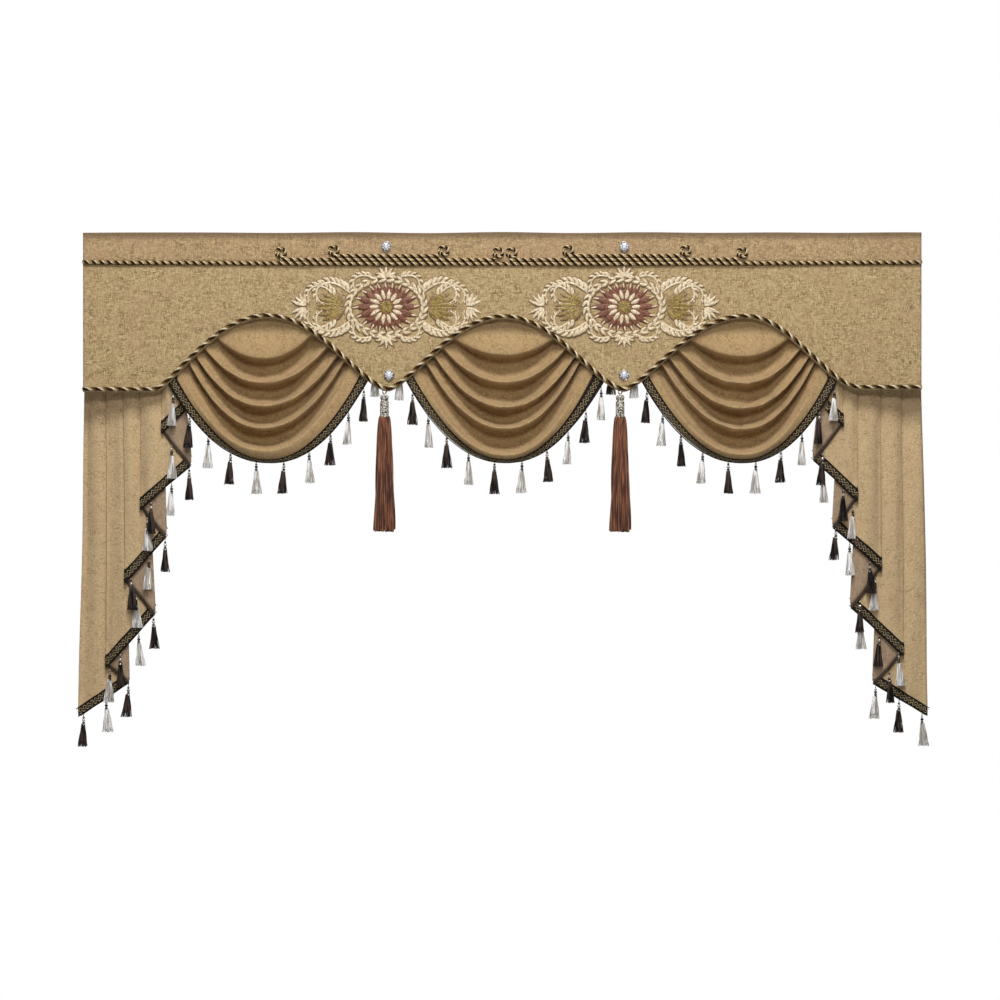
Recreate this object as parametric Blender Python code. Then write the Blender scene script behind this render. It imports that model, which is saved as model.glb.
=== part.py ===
"""Swag and tail window valance, built flat against the plane y = 0.

A straight heading band stands over a valance panel whose lower edge rises in three
arches and falls to two points. Three pleated swags hang behind the arches and a
cascade tail hangs behind each end. Twisted cords, beaded tassel fringe, crystal
buttons and two large tassels trim them. X runs to the right, -Y to the front and
+Z up. The origin is the middle of the heading band's top edge. Tables are in
millimetres, and MM turns them into metres.
"""

import math
from typing import NamedTuple

import bmesh
import bpy
import numpy as np

MM = 0.001
GAP = 0.3

# Heading band and valance panel, cut from one lined cloth
LEFT_SIDE = -1003.5
RIGHT_SIDE = 997.5
CLOTH_PANEL = 2.5
PANEL_BACK = CLOTH_PANEL / 2
SEAM_Z = -71.6

# Twisted cords laid on the front
CORD_RADIUS = 4.5
CORD_SIDES = 2
CORD_Y = -(CLOTH_PANEL / 2 + GAP + CORD_RADIUS)
TIER_PITCH = 2 * CORD_RADIUS + GAP
EDGE_LIP = 5.5
EDGE_SPACING = 24.0
TOP_CORD_RISE = 4.0
LEVEL_SPACING = 100.0

# Draped cloth, its trimming braid and the beaded tassels on it
CLOTH_SWAG = 2.0
CLOTH_TAIL = 1.6
BRAID_THICK = 2.6
BRAID_DROP = 22.0
HEM_GAP = 0.4
TASSEL_PITCH = 66.0
TASSEL_DROP = 80.0
STRAND_DROP = 25.0
STRAND_RADIUS = 3.2
STRAND_TUCK = 2.0
SKIRT_TOP_RADIUS = 4.5
SKIRT_FOOT_RADIUS = 12.0
SKIRT_FLATNESS = 0.5
SKIRT_SIDES = 6

# A tassel leans clear of the cloth behind or in front of it; its skirt's top leans less
TAIL_LEAN = -4.0
HIDDEN_LEAN = 4.0
HIDDEN_SHIFT = 2.2
HIDDEN_CLEARANCE = 4.0
SKIRT_TOP_LEAN = 0.6

# The hidden top of each swag, sewn up behind the panel
SHOULDER_Z = -90.0
SHOULDER_FALL = 50.0
SWAG_TOP_Y = PANEL_BACK + GAP + BRAID_THICK / 2
SWAG_END_Y = 6.0

# The hidden top of each tail, and how its layers open out below
TAIL_TOP_Z = -86.0
TAIL_TOP_Y = PANEL_BACK + GAP + CLOTH_TAIL / 2
TAIL_FRONT_Y = 15.5
TAIL_SETTLE_Z = -350.0
LAYER_TOP = 3.2
LAYER_GROWTH = 3.8
TAIL_LENGTH = 1060.0


class Arch(NamedTuple):
    """One arch of the panel's lower edge, with how softly it falls to each foot."""

    left_x: float
    left_z: float
    left_fall: float
    crown_x: float
    crown_z: float
    right_x: float
    right_z: float
    right_fall: float


ARCHES = (
    Arch(-829, -370, 1.30, -564, -194, -276, -369, 1.60),
    Arch(-276, -369, 1.50, 1, -196, 288, -370, 1.65),
    Arch(288, -370, 1.45, 576, -195, 851, -365, 1.95),
)


class Fold(NamedTuple):
    """One fold crest of a swag: its two ends, its low point and how far it stands out."""

    left_x: float
    left_z: float
    low_x: float
    low_z: float
    right_x: float
    right_z: float
    low_y: float


class Swag(NamedTuple):
    """One swag: the folds from the scoop down to the foot of the braid, and its ends."""

    side: str
    left_top_x: float
    left_foot_x: float
    right_foot_x: float
    right_top_x: float
    left_bow: float
    right_bow: float
    first_tassel: int
    last_tassel: int
    folds: tuple


# Folds run scoop, five crests, hem, braid foot.
SWAGS = (
    Swag("left", -690, -757, -289, -440, 0.0, 0.3, -4, 6, (
        Fold(-655, -216, -571, -230, -486, -212, 17),
        Fold(-680, -249, -572, -294, -457, -234, 0),
        Fold(-712, -274, -572, -354, -418, -262, -9),
        Fold(-733, -294, -572, -410, -395, -284, -17),
        Fold(-749, -310, -572, -463, -379, -297, -25),
        Fold(-773, -332, -569, -516, -360, -310, -30),
        Fold(-782, -341, -560, -540, -341, -332, -22),
        Fold(-801, -360, -557, -547, -322, -348, -3),
    )),
    Swag("centre", -130, -264, 276, 132, 0.3, 0.3, -5, 6, (
        Fold(-92, -222, 4, -231, 100, -220, 17),
        Fold(-115, -248, 5, -286, 123, -243, 0),
        Fold(-145, -270, 5, -353, 152, -267, -9),
        Fold(-165, -290, 5, -413, 170, -290, -17),
        Fold(-184, -307, 5, -464, 183, -300, -25),
        Fold(-204, -330, 5, -527, 199, -320, -30),
        Fold(-216, -340, 5, -540, 213, -335, -22),
        Fold(-229, -357, 5, -547, 238, -357, -3),
    )),
    Swag("right", 440, 300, 757, 690, 0.3, 0.0, -5, 5, (
        Fold(470, -218, 573, -231, 657, -216, 17),
        Fold(445, -246, 572, -289, 681, -245, 0),
        Fold(416, -272, 572, -355, 713, -267, -9),
        Fold(395, -291, 569, -415, 732, -288, -17),
        Fold(378, -307, 569, -465, 745, -301, -25),
        Fold(359, -329, 569, -525, 761, -316, -30),
        Fold(346, -340, 569, -540, 777, -339, -22),
        Fold(333, -356, 569, -547, 794, -361, -3),
    )),
)
LAST_CREST = 5
HEM_FOLD = 6
FOOT_FOLD = 7
SWAG_ACROSS = (0.0, 0.16, 0.32, 0.47, 0.61, 0.74, 0.86, 0.95, 1.0)
SHOULDER_STEPS = (0.45, 1.0)
FLAT_REACH = 0.97
SWELL_FALL = 1.2
ROW_CURVE = 2.1
SCOOP_REST = 4.0
SCOOP_BELLY = 2.0

# A fold sinks under its crest and slopes out to the next one: share of the way down,
# and how much of the sunken depth is left there.
FOLD_SECTION = ((0.15, 1.0), (0.48, 0.55), (0.82, 0.12))
FOLD_DEPTH = 20.0
END_DEPTH = 0.25
BRAID_ROLL = 0.6


class Pleat(NamedTuple):
    """One fold line of a tail, from under the panel to its point on the stepped hem."""

    top_x: float
    hem_x: float
    hem_z: float


TAIL_LEFT = (
    Pleat(-1003, -1026, -1137),
    Pleat(-917, -906, -1050),
    Pleat(-953, -954, -1007),
    Pleat(-874, -841, -879),
    Pleat(-914, -906, -800),
    Pleat(-832, -811, -694),
    Pleat(-871, -868, -627),
    Pleat(-794, -752, -524),
    Pleat(-818, -816, -443),
    Pleat(-788, -765, -395),
)
TAIL_RIGHT = (
    Pleat(997, 1027, -1135),
    Pleat(917, 896, -1051),
    Pleat(952, 960, -978),
    Pleat(868, 838, -863),
    Pleat(902, 904, -771),
    Pleat(820, 791, -672),
    Pleat(850, 844, -605),
    Pleat(796, 743, -510),
    Pleat(813, 810, -426),
    Pleat(787, 776, -395),
)
TAIL_ROWS = (0.0, 0.12, 0.26, 0.45, 0.7, 1.0)
BRAID_ROWS = (0.5, 1.0)
TAIL_TASSELS = 16
TAIL_TASSEL_START = 16.0


class TierCord(NamedTuple):
    """A shorter cord stacked on the top cord, and its two end curls."""

    name: str
    tier: int
    left_x: float
    right_x: float
    curl_z: float


TIER_CORDS = (
    TierCord("top_cord_mid_left", 1, -531, -13, -45.8),
    TierCord("top_cord_mid_right", 1, 19, 569, -45.8),
    TierCord("top_cord_upper_left", 2, -405, -143, -41.0),
    TierCord("top_cord_upper_right", 2, 154, 434, -41.0),
)
CURL_RADIUS = 14.0
CURL_TUBE = 4.0
CURL_STEPS = 12
RING_SIDES = 6

BUTTON_RADIUS = 13.0
BUTTON_PLACES = ((-280, -30), (288, -31), (-273, -337), (288, -337))
# Turned profiles hold (radius, distance along the axis) in millimetres.
BUTTON_PROFILE = ((10.5, 0.0), (13.0, 2.5), (12.0, 5.0), (7.5, 9.0))

LARGE_TASSEL_X = (-284.0, 278.0)
LARGE_TASSEL_Y = CORD_Y
HANGER_RADIUS = 6.0
HANGER_TUBE = 1.6
HANGER_STEPS = 12
CAP_PROFILE = ((4.0, 0.0), (9.0, 2.0), (10.0, 8.0), (8.0, 14.0), (10.5, 17.0), (11.0, 54.0))
SKIRT_PROFILE = ((11.5, 0.0), (14.5, 12.0), (18.0, 90.0), (22.0, 180.0), (26.5, 272.0))
LARGE_SKIRT_FLATNESS = 0.75
TURNED_SIDES = 16

FINISHES = {
    "cloth": ((0.42, 0.32, 0.17), 0.92, 0.0),
    "swag_cloth": ((0.46, 0.34, 0.18), 0.90, 0.0),
    "fringe": ((0.10, 0.08, 0.06), 0.80, 0.0),
    "cord": ((0.30, 0.22, 0.09), 0.60, 0.1),
    "crystal": ((0.85, 0.88, 0.90), 0.08, 0.1),
    "cap": ((0.62, 0.58, 0.50), 0.35, 0.6),
    "skirt": ((0.20, 0.09, 0.05), 0.75, 0.0),
}


# ---------------------------------------------------------------- helpers


def clear_scene():
    """Removes every object that is in the scene."""
    for obj in list(bpy.data.objects):
        bpy.data.objects.remove(obj, do_unlink=True)


def material_for(node, finish):
    """Makes a node's own material from a named finish."""
    colour, roughness, metallic = FINISHES[finish]
    material = bpy.data.materials.new(f"{node}_{finish}")
    material.use_nodes = True
    shader = material.node_tree.nodes["Principled BSDF"]
    shader.inputs["Base Color"].default_value = (*colour, 1.0)
    shader.inputs["Roughness"].default_value = roughness
    shader.inputs["Metallic"].default_value = metallic
    material.diffuse_color = (*colour, 1.0)
    return material


def add_object(name, data, finish):
    """Links an object with its own material to the scene."""
    obj = bpy.data.objects.new(name, data)
    obj.data.materials.append(material_for(name, finish))
    bpy.context.scene.collection.objects.link(obj)
    return obj


def mesh_object(name, points, faces, finish):
    """Makes a closed mesh, given in millimetres, with its faces turned outwards."""
    mesh = bpy.data.meshes.new(name)
    mesh.from_pydata([tuple(c * MM for c in point) for point in points], [], faces)
    work = bmesh.new()
    work.from_mesh(mesh)
    bmesh.ops.recalc_face_normals(work, faces=work.faces)
    work.to_mesh(mesh)
    work.free()
    return add_object(name, mesh, finish)


def smooth_step(value):
    """Eases from 0 to 1."""
    value = min(max(value, 0.0), 1.0)
    return value * value * (3 - 2 * value)


def tube(name, path, radius, finish):
    """Makes a round cord along a path in millimetres."""
    curve = bpy.data.curves.new(name, "CURVE")
    curve.dimensions = "3D"
    curve.bevel_depth = radius * MM
    curve.bevel_resolution = CORD_SIDES
    curve.use_fill_caps = True
    spline = curve.splines.new("POLY")
    spline.points.add(len(path) - 1)
    for point, place in zip(spline.points, path):
        point.co = (*(c * MM for c in place), 1.0)
    return add_object(name, curve, finish)


def turned(name, profile, centre, axis, flatness, finish):
    """Turns a profile about an axis that starts at centre: 'down' or 'front'."""
    points = []
    for radius, along in profile:
        for side in range(TURNED_SIDES):
            angle = 2 * math.pi * side / TURNED_SIDES
            first = radius * math.cos(angle)
            second = radius * flatness * math.sin(angle)
            if axis == "down":
                offset = (first, second, -along)
            else:
                offset = (first, -along, second)
            points.append(tuple(c + o for c, o in zip(centre, offset)))
    faces = ring_faces(len(profile), TURNED_SIDES)
    return mesh_object(name, points, faces, finish)


def ring_faces(rings, sides):
    """Lists the faces of a stack of rings with closed ends."""
    faces = [tuple(range(sides)), tuple((rings - 1) * sides + i for i in range(sides))]
    for ring in range(rings - 1):
        for side in range(sides):
            following = (side + 1) % sides
            low = ring * sides
            high = low + sides
            faces.append((low + side, low + following, high + following, high + side))
    return faces


def torus(name, centre, major, minor, steps, finish):
    """Makes an upright ring that faces the front."""
    work = bmesh.new()
    sides = RING_SIDES
    rings = []
    for step in range(steps):
        turn = 2 * math.pi * step / steps
        ring = []
        for side in range(sides):
            roll = 2 * math.pi * side / sides
            reach = major + minor * math.cos(roll)
            x = centre[0] + reach * math.cos(turn)
            y = centre[1] + minor * math.sin(roll)
            z = centre[2] + reach * math.sin(turn)
            ring.append(work.verts.new((x * MM, y * MM, z * MM)))
        rings.append(ring)
    for ring, following in zip(rings, rings[1:] + rings[:1]):
        for side in range(sides):
            other = (side + 1) % sides
            work.faces.new((ring[side], ring[other], following[other], following[side]))
    bmesh.ops.recalc_face_normals(work, faces=work.faces)
    mesh = bpy.data.meshes.new(name)
    work.to_mesh(mesh)
    work.free()
    return add_object(name, mesh, finish)


# ---------------------------------------------------------------- panel and cords


def edge_z(x):
    """Height of the edge cord's middle at x: three arches between flat ends."""
    for arch in ARCHES:
        if arch.left_x <= x <= arch.right_x:
            if x < arch.crown_x:
                foot_x, foot_z, fall = arch.left_x, arch.left_z, arch.left_fall
            else:
                foot_x, foot_z, fall = arch.right_x, arch.right_z, arch.right_fall
            across = (x - arch.crown_x) / (foot_x - arch.crown_x)
            rise = max(1 - across * across, 0.0) ** fall
            return foot_z + (arch.crown_z - foot_z) * rise
    return ARCHES[0].left_z if x < 0 else ARCHES[-1].right_z


def edge_path():
    """Points along the edge cord from the left side to the right side."""
    stations = [LEFT_SIDE, (LEFT_SIDE + ARCHES[0].left_x) / 2]
    for arch in ARCHES:
        for start, end in ((arch.left_x, arch.crown_x), (arch.crown_x, arch.right_x)):
            count = round((end - start) / EDGE_SPACING)
            stations += [start + (end - start) * i / count for i in range(count)]
    stations += [ARCHES[-1].right_x, (ARCHES[-1].right_x + RIGHT_SIDE) / 2, RIGHT_SIDE]
    return [(x, edge_z(x)) for x in stations]


def lowered_edge(lip):
    """The edge path moved outwards, square to itself, by the panel's lip."""
    path = edge_path()
    moved = [(LEFT_SIDE, path[0][1] - lip)]
    for before, here, after in zip(path, path[1:], path[2:]):
        run = after[0] - before[0]
        rise = after[1] - before[1]
        length = math.hypot(run, rise)
        moved.append((here[0] + lip * rise / length, here[1] - lip * run / length))
    moved.append((RIGHT_SIDE, path[-1][1] - lip))
    return moved


def plate(name, outline, finish):
    """Makes a flat cloth of the panel's thickness from its outline in x and z."""
    count = len(outline)
    half = CLOTH_PANEL / 2
    points = [(x, y, z) for y in (-half, half) for x, z in outline]
    faces = [tuple(range(count)), tuple(range(count, 2 * count))]
    for i in range(count):
        following = (i + 1) % count
        faces.append((i, following, count + following, count + i))
    return mesh_object(name, points, faces, finish)


def heading_band():
    """The straight strip above the top cord."""
    foot = SEAM_Z + GAP
    outline = ((LEFT_SIDE, 0), (LEFT_SIDE, foot), (RIGHT_SIDE, foot), (RIGHT_SIDE, 0))
    plate("heading_band", outline, "cloth")


def valance_panel():
    """The flat panel with its three arches and two points."""
    outline = lowered_edge(EDGE_LIP) + [(RIGHT_SIDE, SEAM_Z), (LEFT_SIDE, SEAM_Z)]
    plate("valance_panel", outline, "cloth")


def top_cord_z(x):
    """Height of the top cord's middle, which dips a little from its ends to the middle."""
    return SEAM_Z + TOP_CORD_RISE * (x / RIGHT_SIDE) ** 2


def level_path(left_x, right_x, tier):
    """A cord path along the top cord, raised by whole tiers."""
    count = max(round((right_x - left_x) / LEVEL_SPACING), 2)
    stations = [left_x + (right_x - left_x) * i / count for i in range(count + 1)]
    return [(x, CORD_Y, top_cord_z(x) + tier * TIER_PITCH) for x in stations]


def curl_reach(cord, curl_x):
    """How far from a curl's middle its cord starts, at the height of the cord's top."""
    top_z = top_cord_z(curl_x) + cord.tier * TIER_PITCH + CORD_RADIUS
    drop = cord.curl_z - top_z
    return math.sqrt(max(CURL_RADIUS**2 - drop**2, 0.0)) + 2 * GAP


def cords():
    """The top cord, its shorter tiers with their end curls, and the edge cord."""
    tube("top_cord", level_path(LEFT_SIDE, RIGHT_SIDE, 0), CORD_RADIUS, "cord")
    number = 0
    for cord in TIER_CORDS:
        left_x = cord.left_x + curl_reach(cord, cord.left_x)
        right_x = cord.right_x - curl_reach(cord, cord.right_x)
        path = level_path(left_x, right_x, cord.tier)
        tube(cord.name, path, CORD_RADIUS, "cord")
        for curl_x in (cord.left_x, cord.right_x):
            number += 1
            centre = (curl_x, -(CLOTH_PANEL / 2 + GAP + CURL_TUBE), cord.curl_z)
            major = CURL_RADIUS - CURL_TUBE
            torus(f"cord_curl_{number}", centre, major, CURL_TUBE, CURL_STEPS, "cord")
    path = [(x, CORD_Y, z) for x, z in edge_path()]
    tube("edge_cord", path, CORD_RADIUS, "cord")


# ---------------------------------------------------------------- draped cloth


def grid_normals(grid):
    """Unit normals of a grid of points, from the differences along rows and columns."""
    across = np.gradient(grid, axis=1)
    down = np.gradient(grid, axis=0)
    normals = np.cross(across, down)
    return normals / np.linalg.norm(normals, axis=2, keepdims=True)


def sheet_faces(rows, columns):
    """Faces of a sheet solid whose front grid comes before its back grid."""
    size = rows * columns
    faces = []
    for row in range(rows - 1):
        for column in range(columns - 1):
            a = row * columns + column
            quad = (a, a + 1, a + columns + 1, a + columns)
            faces.append(quad)
            faces.append(tuple(size + i for i in reversed(quad)))
    rim = list(range(columns))
    rim += [row * columns + columns - 1 for row in range(1, rows)]
    rim += [(rows - 1) * columns + column for column in range(columns - 2, -1, -1)]
    rim += [row * columns for row in range(rows - 2, 0, -1)]
    for here, following in zip(rim, rim[1:] + rim[:1]):
        faces.append((following, here, size + here, size + following))
    return faces


def sheet(name, grid, normals, thickness, finish):
    """Makes a cloth solid by giving a grid its thickness on both sides."""
    half = thickness / 2
    points = np.concatenate([grid - half * normals, grid + half * normals])
    rows, columns = grid.shape[:2]
    return mesh_object(name, points.reshape(-1, 3), sheet_faces(rows, columns), finish)


def fold_row(fold, bow_left, bow_right, anchors):
    """Points of one row: a hanging curve between its ends, then up to both shoulders."""
    across = [-s for s in reversed(SWAG_ACROSS)] + list(SWAG_ACROSS[1:])
    middle = []
    for s in across:
        end_x, end_z = (fold.left_x, fold.left_z) if s < 0 else (fold.right_x, fold.right_z)
        x = fold.low_x + (end_x - fold.low_x) * abs(s)
        z = fold.low_z + (end_z - fold.low_z) * abs(s) ** ROW_CURVE
        middle.append((x, z))
    left = shoulder(middle[0], middle[1], bow_left, anchors[0])
    right = shoulder(middle[-1], middle[-2], bow_right, anchors[1])
    return left[::-1] + middle + right


def shoulder(end, inner, bow, anchor):
    """Points from a row's visible end up to where it is sewn, bowed along the row."""
    reach = bow * math.dist(end, anchor) / math.dist(end, inner)
    control = [e + (e - i) * reach for e, i in zip(end, inner)]
    points = []
    for h in SHOULDER_STEPS:
        if bow:
            weights = ((1 - h) ** 2, 2 * h * (1 - h), h * h)
            spots = (end, control, anchor)
        else:
            weights = (1 - h, h)
            spots = (end, anchor)
        points.append(tuple(sum(w * p[i] for w, p in zip(weights, spots)) for i in (0, 1)))
    return points


def swell_across():
    """How fully each column swells forward: 1 in the middle, 0 behind the panel."""
    reach = [-s for s in reversed(SWAG_ACROSS)] + list(SWAG_ACROSS[1:])
    middle = [max(1 - (s / FLAT_REACH) ** 2, 0.0) ** SWELL_FALL for s in reach]
    ends = [0.0] * len(SHOULDER_STEPS)
    return np.array(ends + middle + ends)


def depth_across():
    """How deep the folds are at each column, as a share of the depth in the middle."""
    reach = [-s for s in reversed(SWAG_ACROSS)] + list(SWAG_ACROSS[1:])
    middle = [END_DEPTH + (1 - END_DEPTH) * (1 - s * s) for s in reach]
    ends = [END_DEPTH * (1 - h) for h in SHOULDER_STEPS]
    return np.array(ends[::-1] + middle + ends)


def end_depth():
    """Distance behind the front plane of each column before it swells."""
    middle = [SWAG_END_Y] * (2 * len(SWAG_ACROSS) - 1)
    ends = [SWAG_END_Y + (SWAG_TOP_Y - SWAG_END_Y) * h for h in SHOULDER_STEPS]
    return np.array(ends[::-1] + middle + ends)


def swag_grid(swag):
    """Rows of points of a swag from its sewn top to the braid's foot, and the hem's row."""
    count = len(swag.folds)
    crests = []
    for number, fold in enumerate(swag.folds):
        share = (number + 1) / count
        left_x = swag.left_top_x + (swag.left_foot_x - swag.left_top_x) * share
        right_x = swag.right_top_x + (swag.right_foot_x - swag.right_top_x) * share
        shoulder_z = SHOULDER_Z - SHOULDER_FALL * share
        anchors = ((left_x, shoulder_z), (right_x, shoulder_z))
        crests.append(np.array(fold_row(fold, swag.left_bow, swag.right_bow, anchors)))
    swell = swell_across()
    depth = depth_across()
    base = end_depth()
    fronts = [base + (fold.low_y - base) * swell for fold in swag.folds]
    columns = len(swell)
    top_x = np.linspace(swag.left_top_x, swag.right_top_x, columns)
    top = np.column_stack([top_x, np.full(columns, SHOULDER_Z)])
    rows = [(top, np.full(columns, SWAG_TOP_Y))]
    rows.append(((top + crests[0]) / 2, base + SCOOP_REST * swell))
    rows.append((crests[0], fronts[0]))
    belly = (fronts[0] + fronts[1]) / 2 - SCOOP_BELLY * swell
    rows.append(((crests[0] + crests[1]) / 2, belly))
    rows.append((crests[1], fronts[1]))
    for number in range(1, LAST_CREST):
        above, below = crests[number], crests[number + 1]
        next_front = fronts[number + 1]
        under = fronts[number] + FOLD_DEPTH * depth
        for share, left in FOLD_SECTION:
            rows.append((above + share * (below - above), left * under + (1 - left) * next_front))
        rows.append((below, next_front))
    hem, foot = crests[HEM_FOLD], crests[FOOT_FOLD]
    hem_y, foot_y = fronts[HEM_FOLD], fronts[FOOT_FOLD]
    rows.append((hem, hem_y))
    hem_row = len(rows) - 1
    rows.append(((hem + foot) / 2, BRAID_ROLL * hem_y + (1 - BRAID_ROLL) * foot_y))
    rows.append((foot, foot_y))
    grid = np.array([[(x, y, z) for (x, z), y in zip(*row)] for row in rows])
    return grid, hem_row


def tail_y(layer, z):
    """Depth of a tail's layer at a height: layers open out downwards."""
    settle = smooth_step((TAIL_TOP_Z - z) / (TAIL_TOP_Z - TAIL_SETTLE_Z))
    front = TAIL_TOP_Y + (TAIL_FRONT_Y - TAIL_TOP_Y) * settle
    spacing = LAYER_TOP + LAYER_GROWTH * (TAIL_TOP_Z - z) / TAIL_LENGTH
    return front + layer * spacing, spacing


class TailColumn(NamedTuple):
    """One column of a tail: where it lies, its layer, its turn and its braid's height."""

    pleat: Pleat
    layer: float
    turn: float
    fall: float


def tail_columns(pleats):
    """Columns of a tail: each flat stretch's ends and middle, and the fold's turn."""
    stretches = list(zip(pleats, pleats[1:]))
    falls = []
    for here, following in stretches:
        run = abs(following.hem_x - here.hem_x)
        rise = abs(following.hem_z - here.hem_z)
        falls.append(BRAID_DROP * math.hypot(run, rise) / run)
    last = len(stretches) - 1
    columns = []
    for number, (here, following) in enumerate(stretches):
        layer = last - number
        fall = falls[number]
        start_fall = (falls[max(number - 1, 0)] + fall) / 2
        end_fall = (fall + falls[min(number + 1, last)]) / 2
        middle = Pleat(*((a + b) / 2 for a, b in zip(here, following)))
        columns.append(TailColumn(here, layer, 0.0, start_fall))
        columns.append(TailColumn(middle, layer, 0.0, fall))
        columns.append(TailColumn(following, layer, 0.0, end_fall))
        if number < last:
            turn = math.copysign(1.0, following.hem_x - here.hem_x)
            columns.append(TailColumn(following, layer - 0.5, turn, end_fall))
    return columns


def tail_grid(pleats):
    """Rows of points of a tail from its hidden top to the braid's foot, and the hem's row."""
    columns = tail_columns(pleats)
    rows = []
    for share in TAIL_ROWS:
        rows.append([tail_point(column, share, 0.0) for column in columns])
    for drop in BRAID_ROWS:
        rows.append([tail_point(column, 1.0, drop) for column in columns])
    return np.array(rows), len(TAIL_ROWS) - 1


def tail_point(column, share, drop):
    """A point of a column, by its share of the way to the hem and down the braid."""
    pleat = column.pleat
    x = pleat.top_x + (pleat.hem_x - pleat.top_x) * share
    z = TAIL_TOP_Z + (pleat.hem_z - TAIL_TOP_Z) * share - column.fall * drop
    y, spacing = tail_y(column.layer, z)
    return x + column.turn * spacing / 2, y, z


def split_cloth(name, grid, hem_row, thickness, finish):
    """Makes the cloth above the hem, and returns the braid's rows with their normals."""
    normals = grid_normals(grid)
    sheet(name, grid[: hem_row + 1], normals[: hem_row + 1], thickness, finish)
    down = grid[hem_row + 1] - grid[hem_row - 1]
    down /= np.linalg.norm(down, axis=1, keepdims=True)
    braid = grid[hem_row:].copy()
    braid[0] += HEM_GAP * down
    return braid, normals[hem_row:]


def places_along(path, distances):
    """Points at given distances along a path of points."""
    steps = np.linalg.norm(np.diff(path, axis=0), axis=1)
    travelled = np.concatenate([[0.0], np.cumsum(steps)])
    return np.column_stack([np.interp(distances, travelled, path[:, i]) for i in range(3)])


def tassel_shape(top, lean):
    """Points and faces of one hanging strand with its skirt, its top inside the braid."""
    rings = (
        (STRAND_RADIUS, STRAND_TUCK, 0.0),
        (SKIRT_TOP_RADIUS, -STRAND_DROP, SKIRT_TOP_LEAN),
        (SKIRT_FOOT_RADIUS, -TASSEL_DROP, 1.0),
    )
    points = []
    for radius, drop, share in rings:
        for side in range(SKIRT_SIDES):
            angle = 2 * math.pi * side / SKIRT_SIDES
            depth = max(radius * SKIRT_FLATNESS, STRAND_RADIUS)
            x = top[0] + radius * math.cos(angle)
            y = top[1] + lean * share + depth * math.sin(angle)
            points.append((x, y, top[2] + drop))
    return points, ring_faces(len(rings), SKIRT_SIDES)


def fringe(name, braid, normals, tops, leans):
    """One comb: the braid with every hanging tassel joined to its foot."""
    comb = sheet(name, braid, normals, BRAID_THICK, "fringe")
    points = []
    faces = []
    for top, lean in zip(tops, leans):
        more_points, more_faces = tassel_shape(top, lean)
        faces += [tuple(len(points) + i for i in face) for face in more_faces]
        points += more_points
    teeth = mesh_object(f"{name}_teeth", points, faces, "fringe")
    teeth.hide_render = True
    teeth.display_type = "WIRE"
    union = comb.modifiers.new("join_tassels", "BOOLEAN")
    union.operation = "UNION"
    union.solver = "EXACT"
    union.use_self = True
    union.object = teeth
    return comb


def swags():
    """The three pleated swags, each with its fringe."""
    for swag in SWAGS:
        grid, hem_row = swag_grid(swag)
        braid, normals = split_cloth(f"swag_{swag.side}", grid, hem_row, CLOTH_SWAG, "swag_cloth")
        foot = braid[-1]
        low = int(np.argmin(foot[:, 2]))
        steps = np.linalg.norm(np.diff(foot[: low + 1], axis=0), axis=1)
        numbers = np.arange(swag.first_tassel, swag.last_tassel + 1)
        tops = places_along(foot, steps.sum() + TASSEL_PITCH * (numbers - 0.5))
        leans = []
        for top in tops:
            hidden = top[2] > edge_z(top[0]) - EDGE_LIP - HIDDEN_CLEARANCE
            top[1] += HIDDEN_SHIFT if hidden else 0.0
            leans.append(HIDDEN_LEAN if hidden else 0.0)
        fringe(f"swag_fringe_{swag.side}", braid, normals, tops, leans)


def tails():
    """The two cascade tails, each with its fringe."""
    for side, pleats in (("left", TAIL_LEFT), ("right", TAIL_RIGHT)):
        grid, hem_row = tail_grid(pleats)
        braid, normals = split_cloth(f"tail_{side}", grid, hem_row, CLOTH_TAIL, "cloth")
        distances = TAIL_TASSEL_START + TASSEL_PITCH * np.arange(TAIL_TASSELS)
        tops = places_along(braid[-1], distances)
        fringe(f"tail_fringe_{side}", braid, normals, tops, [TAIL_LEAN] * TAIL_TASSELS)


# ---------------------------------------------------------------- hard trim


def crystal_buttons():
    """Four domed buttons sewn to the band and over the panel's points."""
    front = -(CLOTH_PANEL / 2 + GAP)
    for number, (x, z) in enumerate(BUTTON_PLACES, start=1):
        turned(f"crystal_button_{number}", BUTTON_PROFILE, (x, front, z), "front", 1.0, "crystal")


def large_tassels():
    """A hanger ring, a moulded cap and a cord skirt under each of the panel's points."""
    stations, heights = zip(*edge_path())
    for side, x in zip(("left", "right"), LARGE_TASSEL_X):
        ring_z = np.interp(x, stations, heights) - CORD_RADIUS - GAP - HANGER_RADIUS
        major = HANGER_RADIUS - HANGER_TUBE
        ring = (x, LARGE_TASSEL_Y, ring_z)
        torus(f"tassel_hanger_{side}", ring, major, HANGER_TUBE, HANGER_STEPS, "cord")
        cap_z = ring_z - HANGER_RADIUS - GAP
        place = (x, LARGE_TASSEL_Y, cap_z)
        turned(f"tassel_cap_{side}", CAP_PROFILE, place, "down", 1.0, "cap")
        place = (x, LARGE_TASSEL_Y, cap_z - CAP_PROFILE[-1][1] - GAP)
        flatness = LARGE_SKIRT_FLATNESS
        turned(f"tassel_skirt_{side}", SKIRT_PROFILE, place, "down", flatness, "skirt")


def main():
    """Builds the whole valance."""
    clear_scene()
    heading_band()
    valance_panel()
    cords()
    swags()
    tails()
    crystal_buttons()
    large_tassels()


main()
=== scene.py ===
"""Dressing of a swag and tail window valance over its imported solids.

A chenille heading strip and panel hang over three pleated swags and two cascade
tails. Braid, beaded tassels, twisted cords, crystals, embroidered medallions and two
large tassels trim them. Everything is in metres, X to the right, -Y to the front and
+Z up, from the middle of the heading's top edge. Tables are in millimetres, and so are
lengths without MM in Swag, Tail, Spray, Fan and Stroke.
"""

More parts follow.
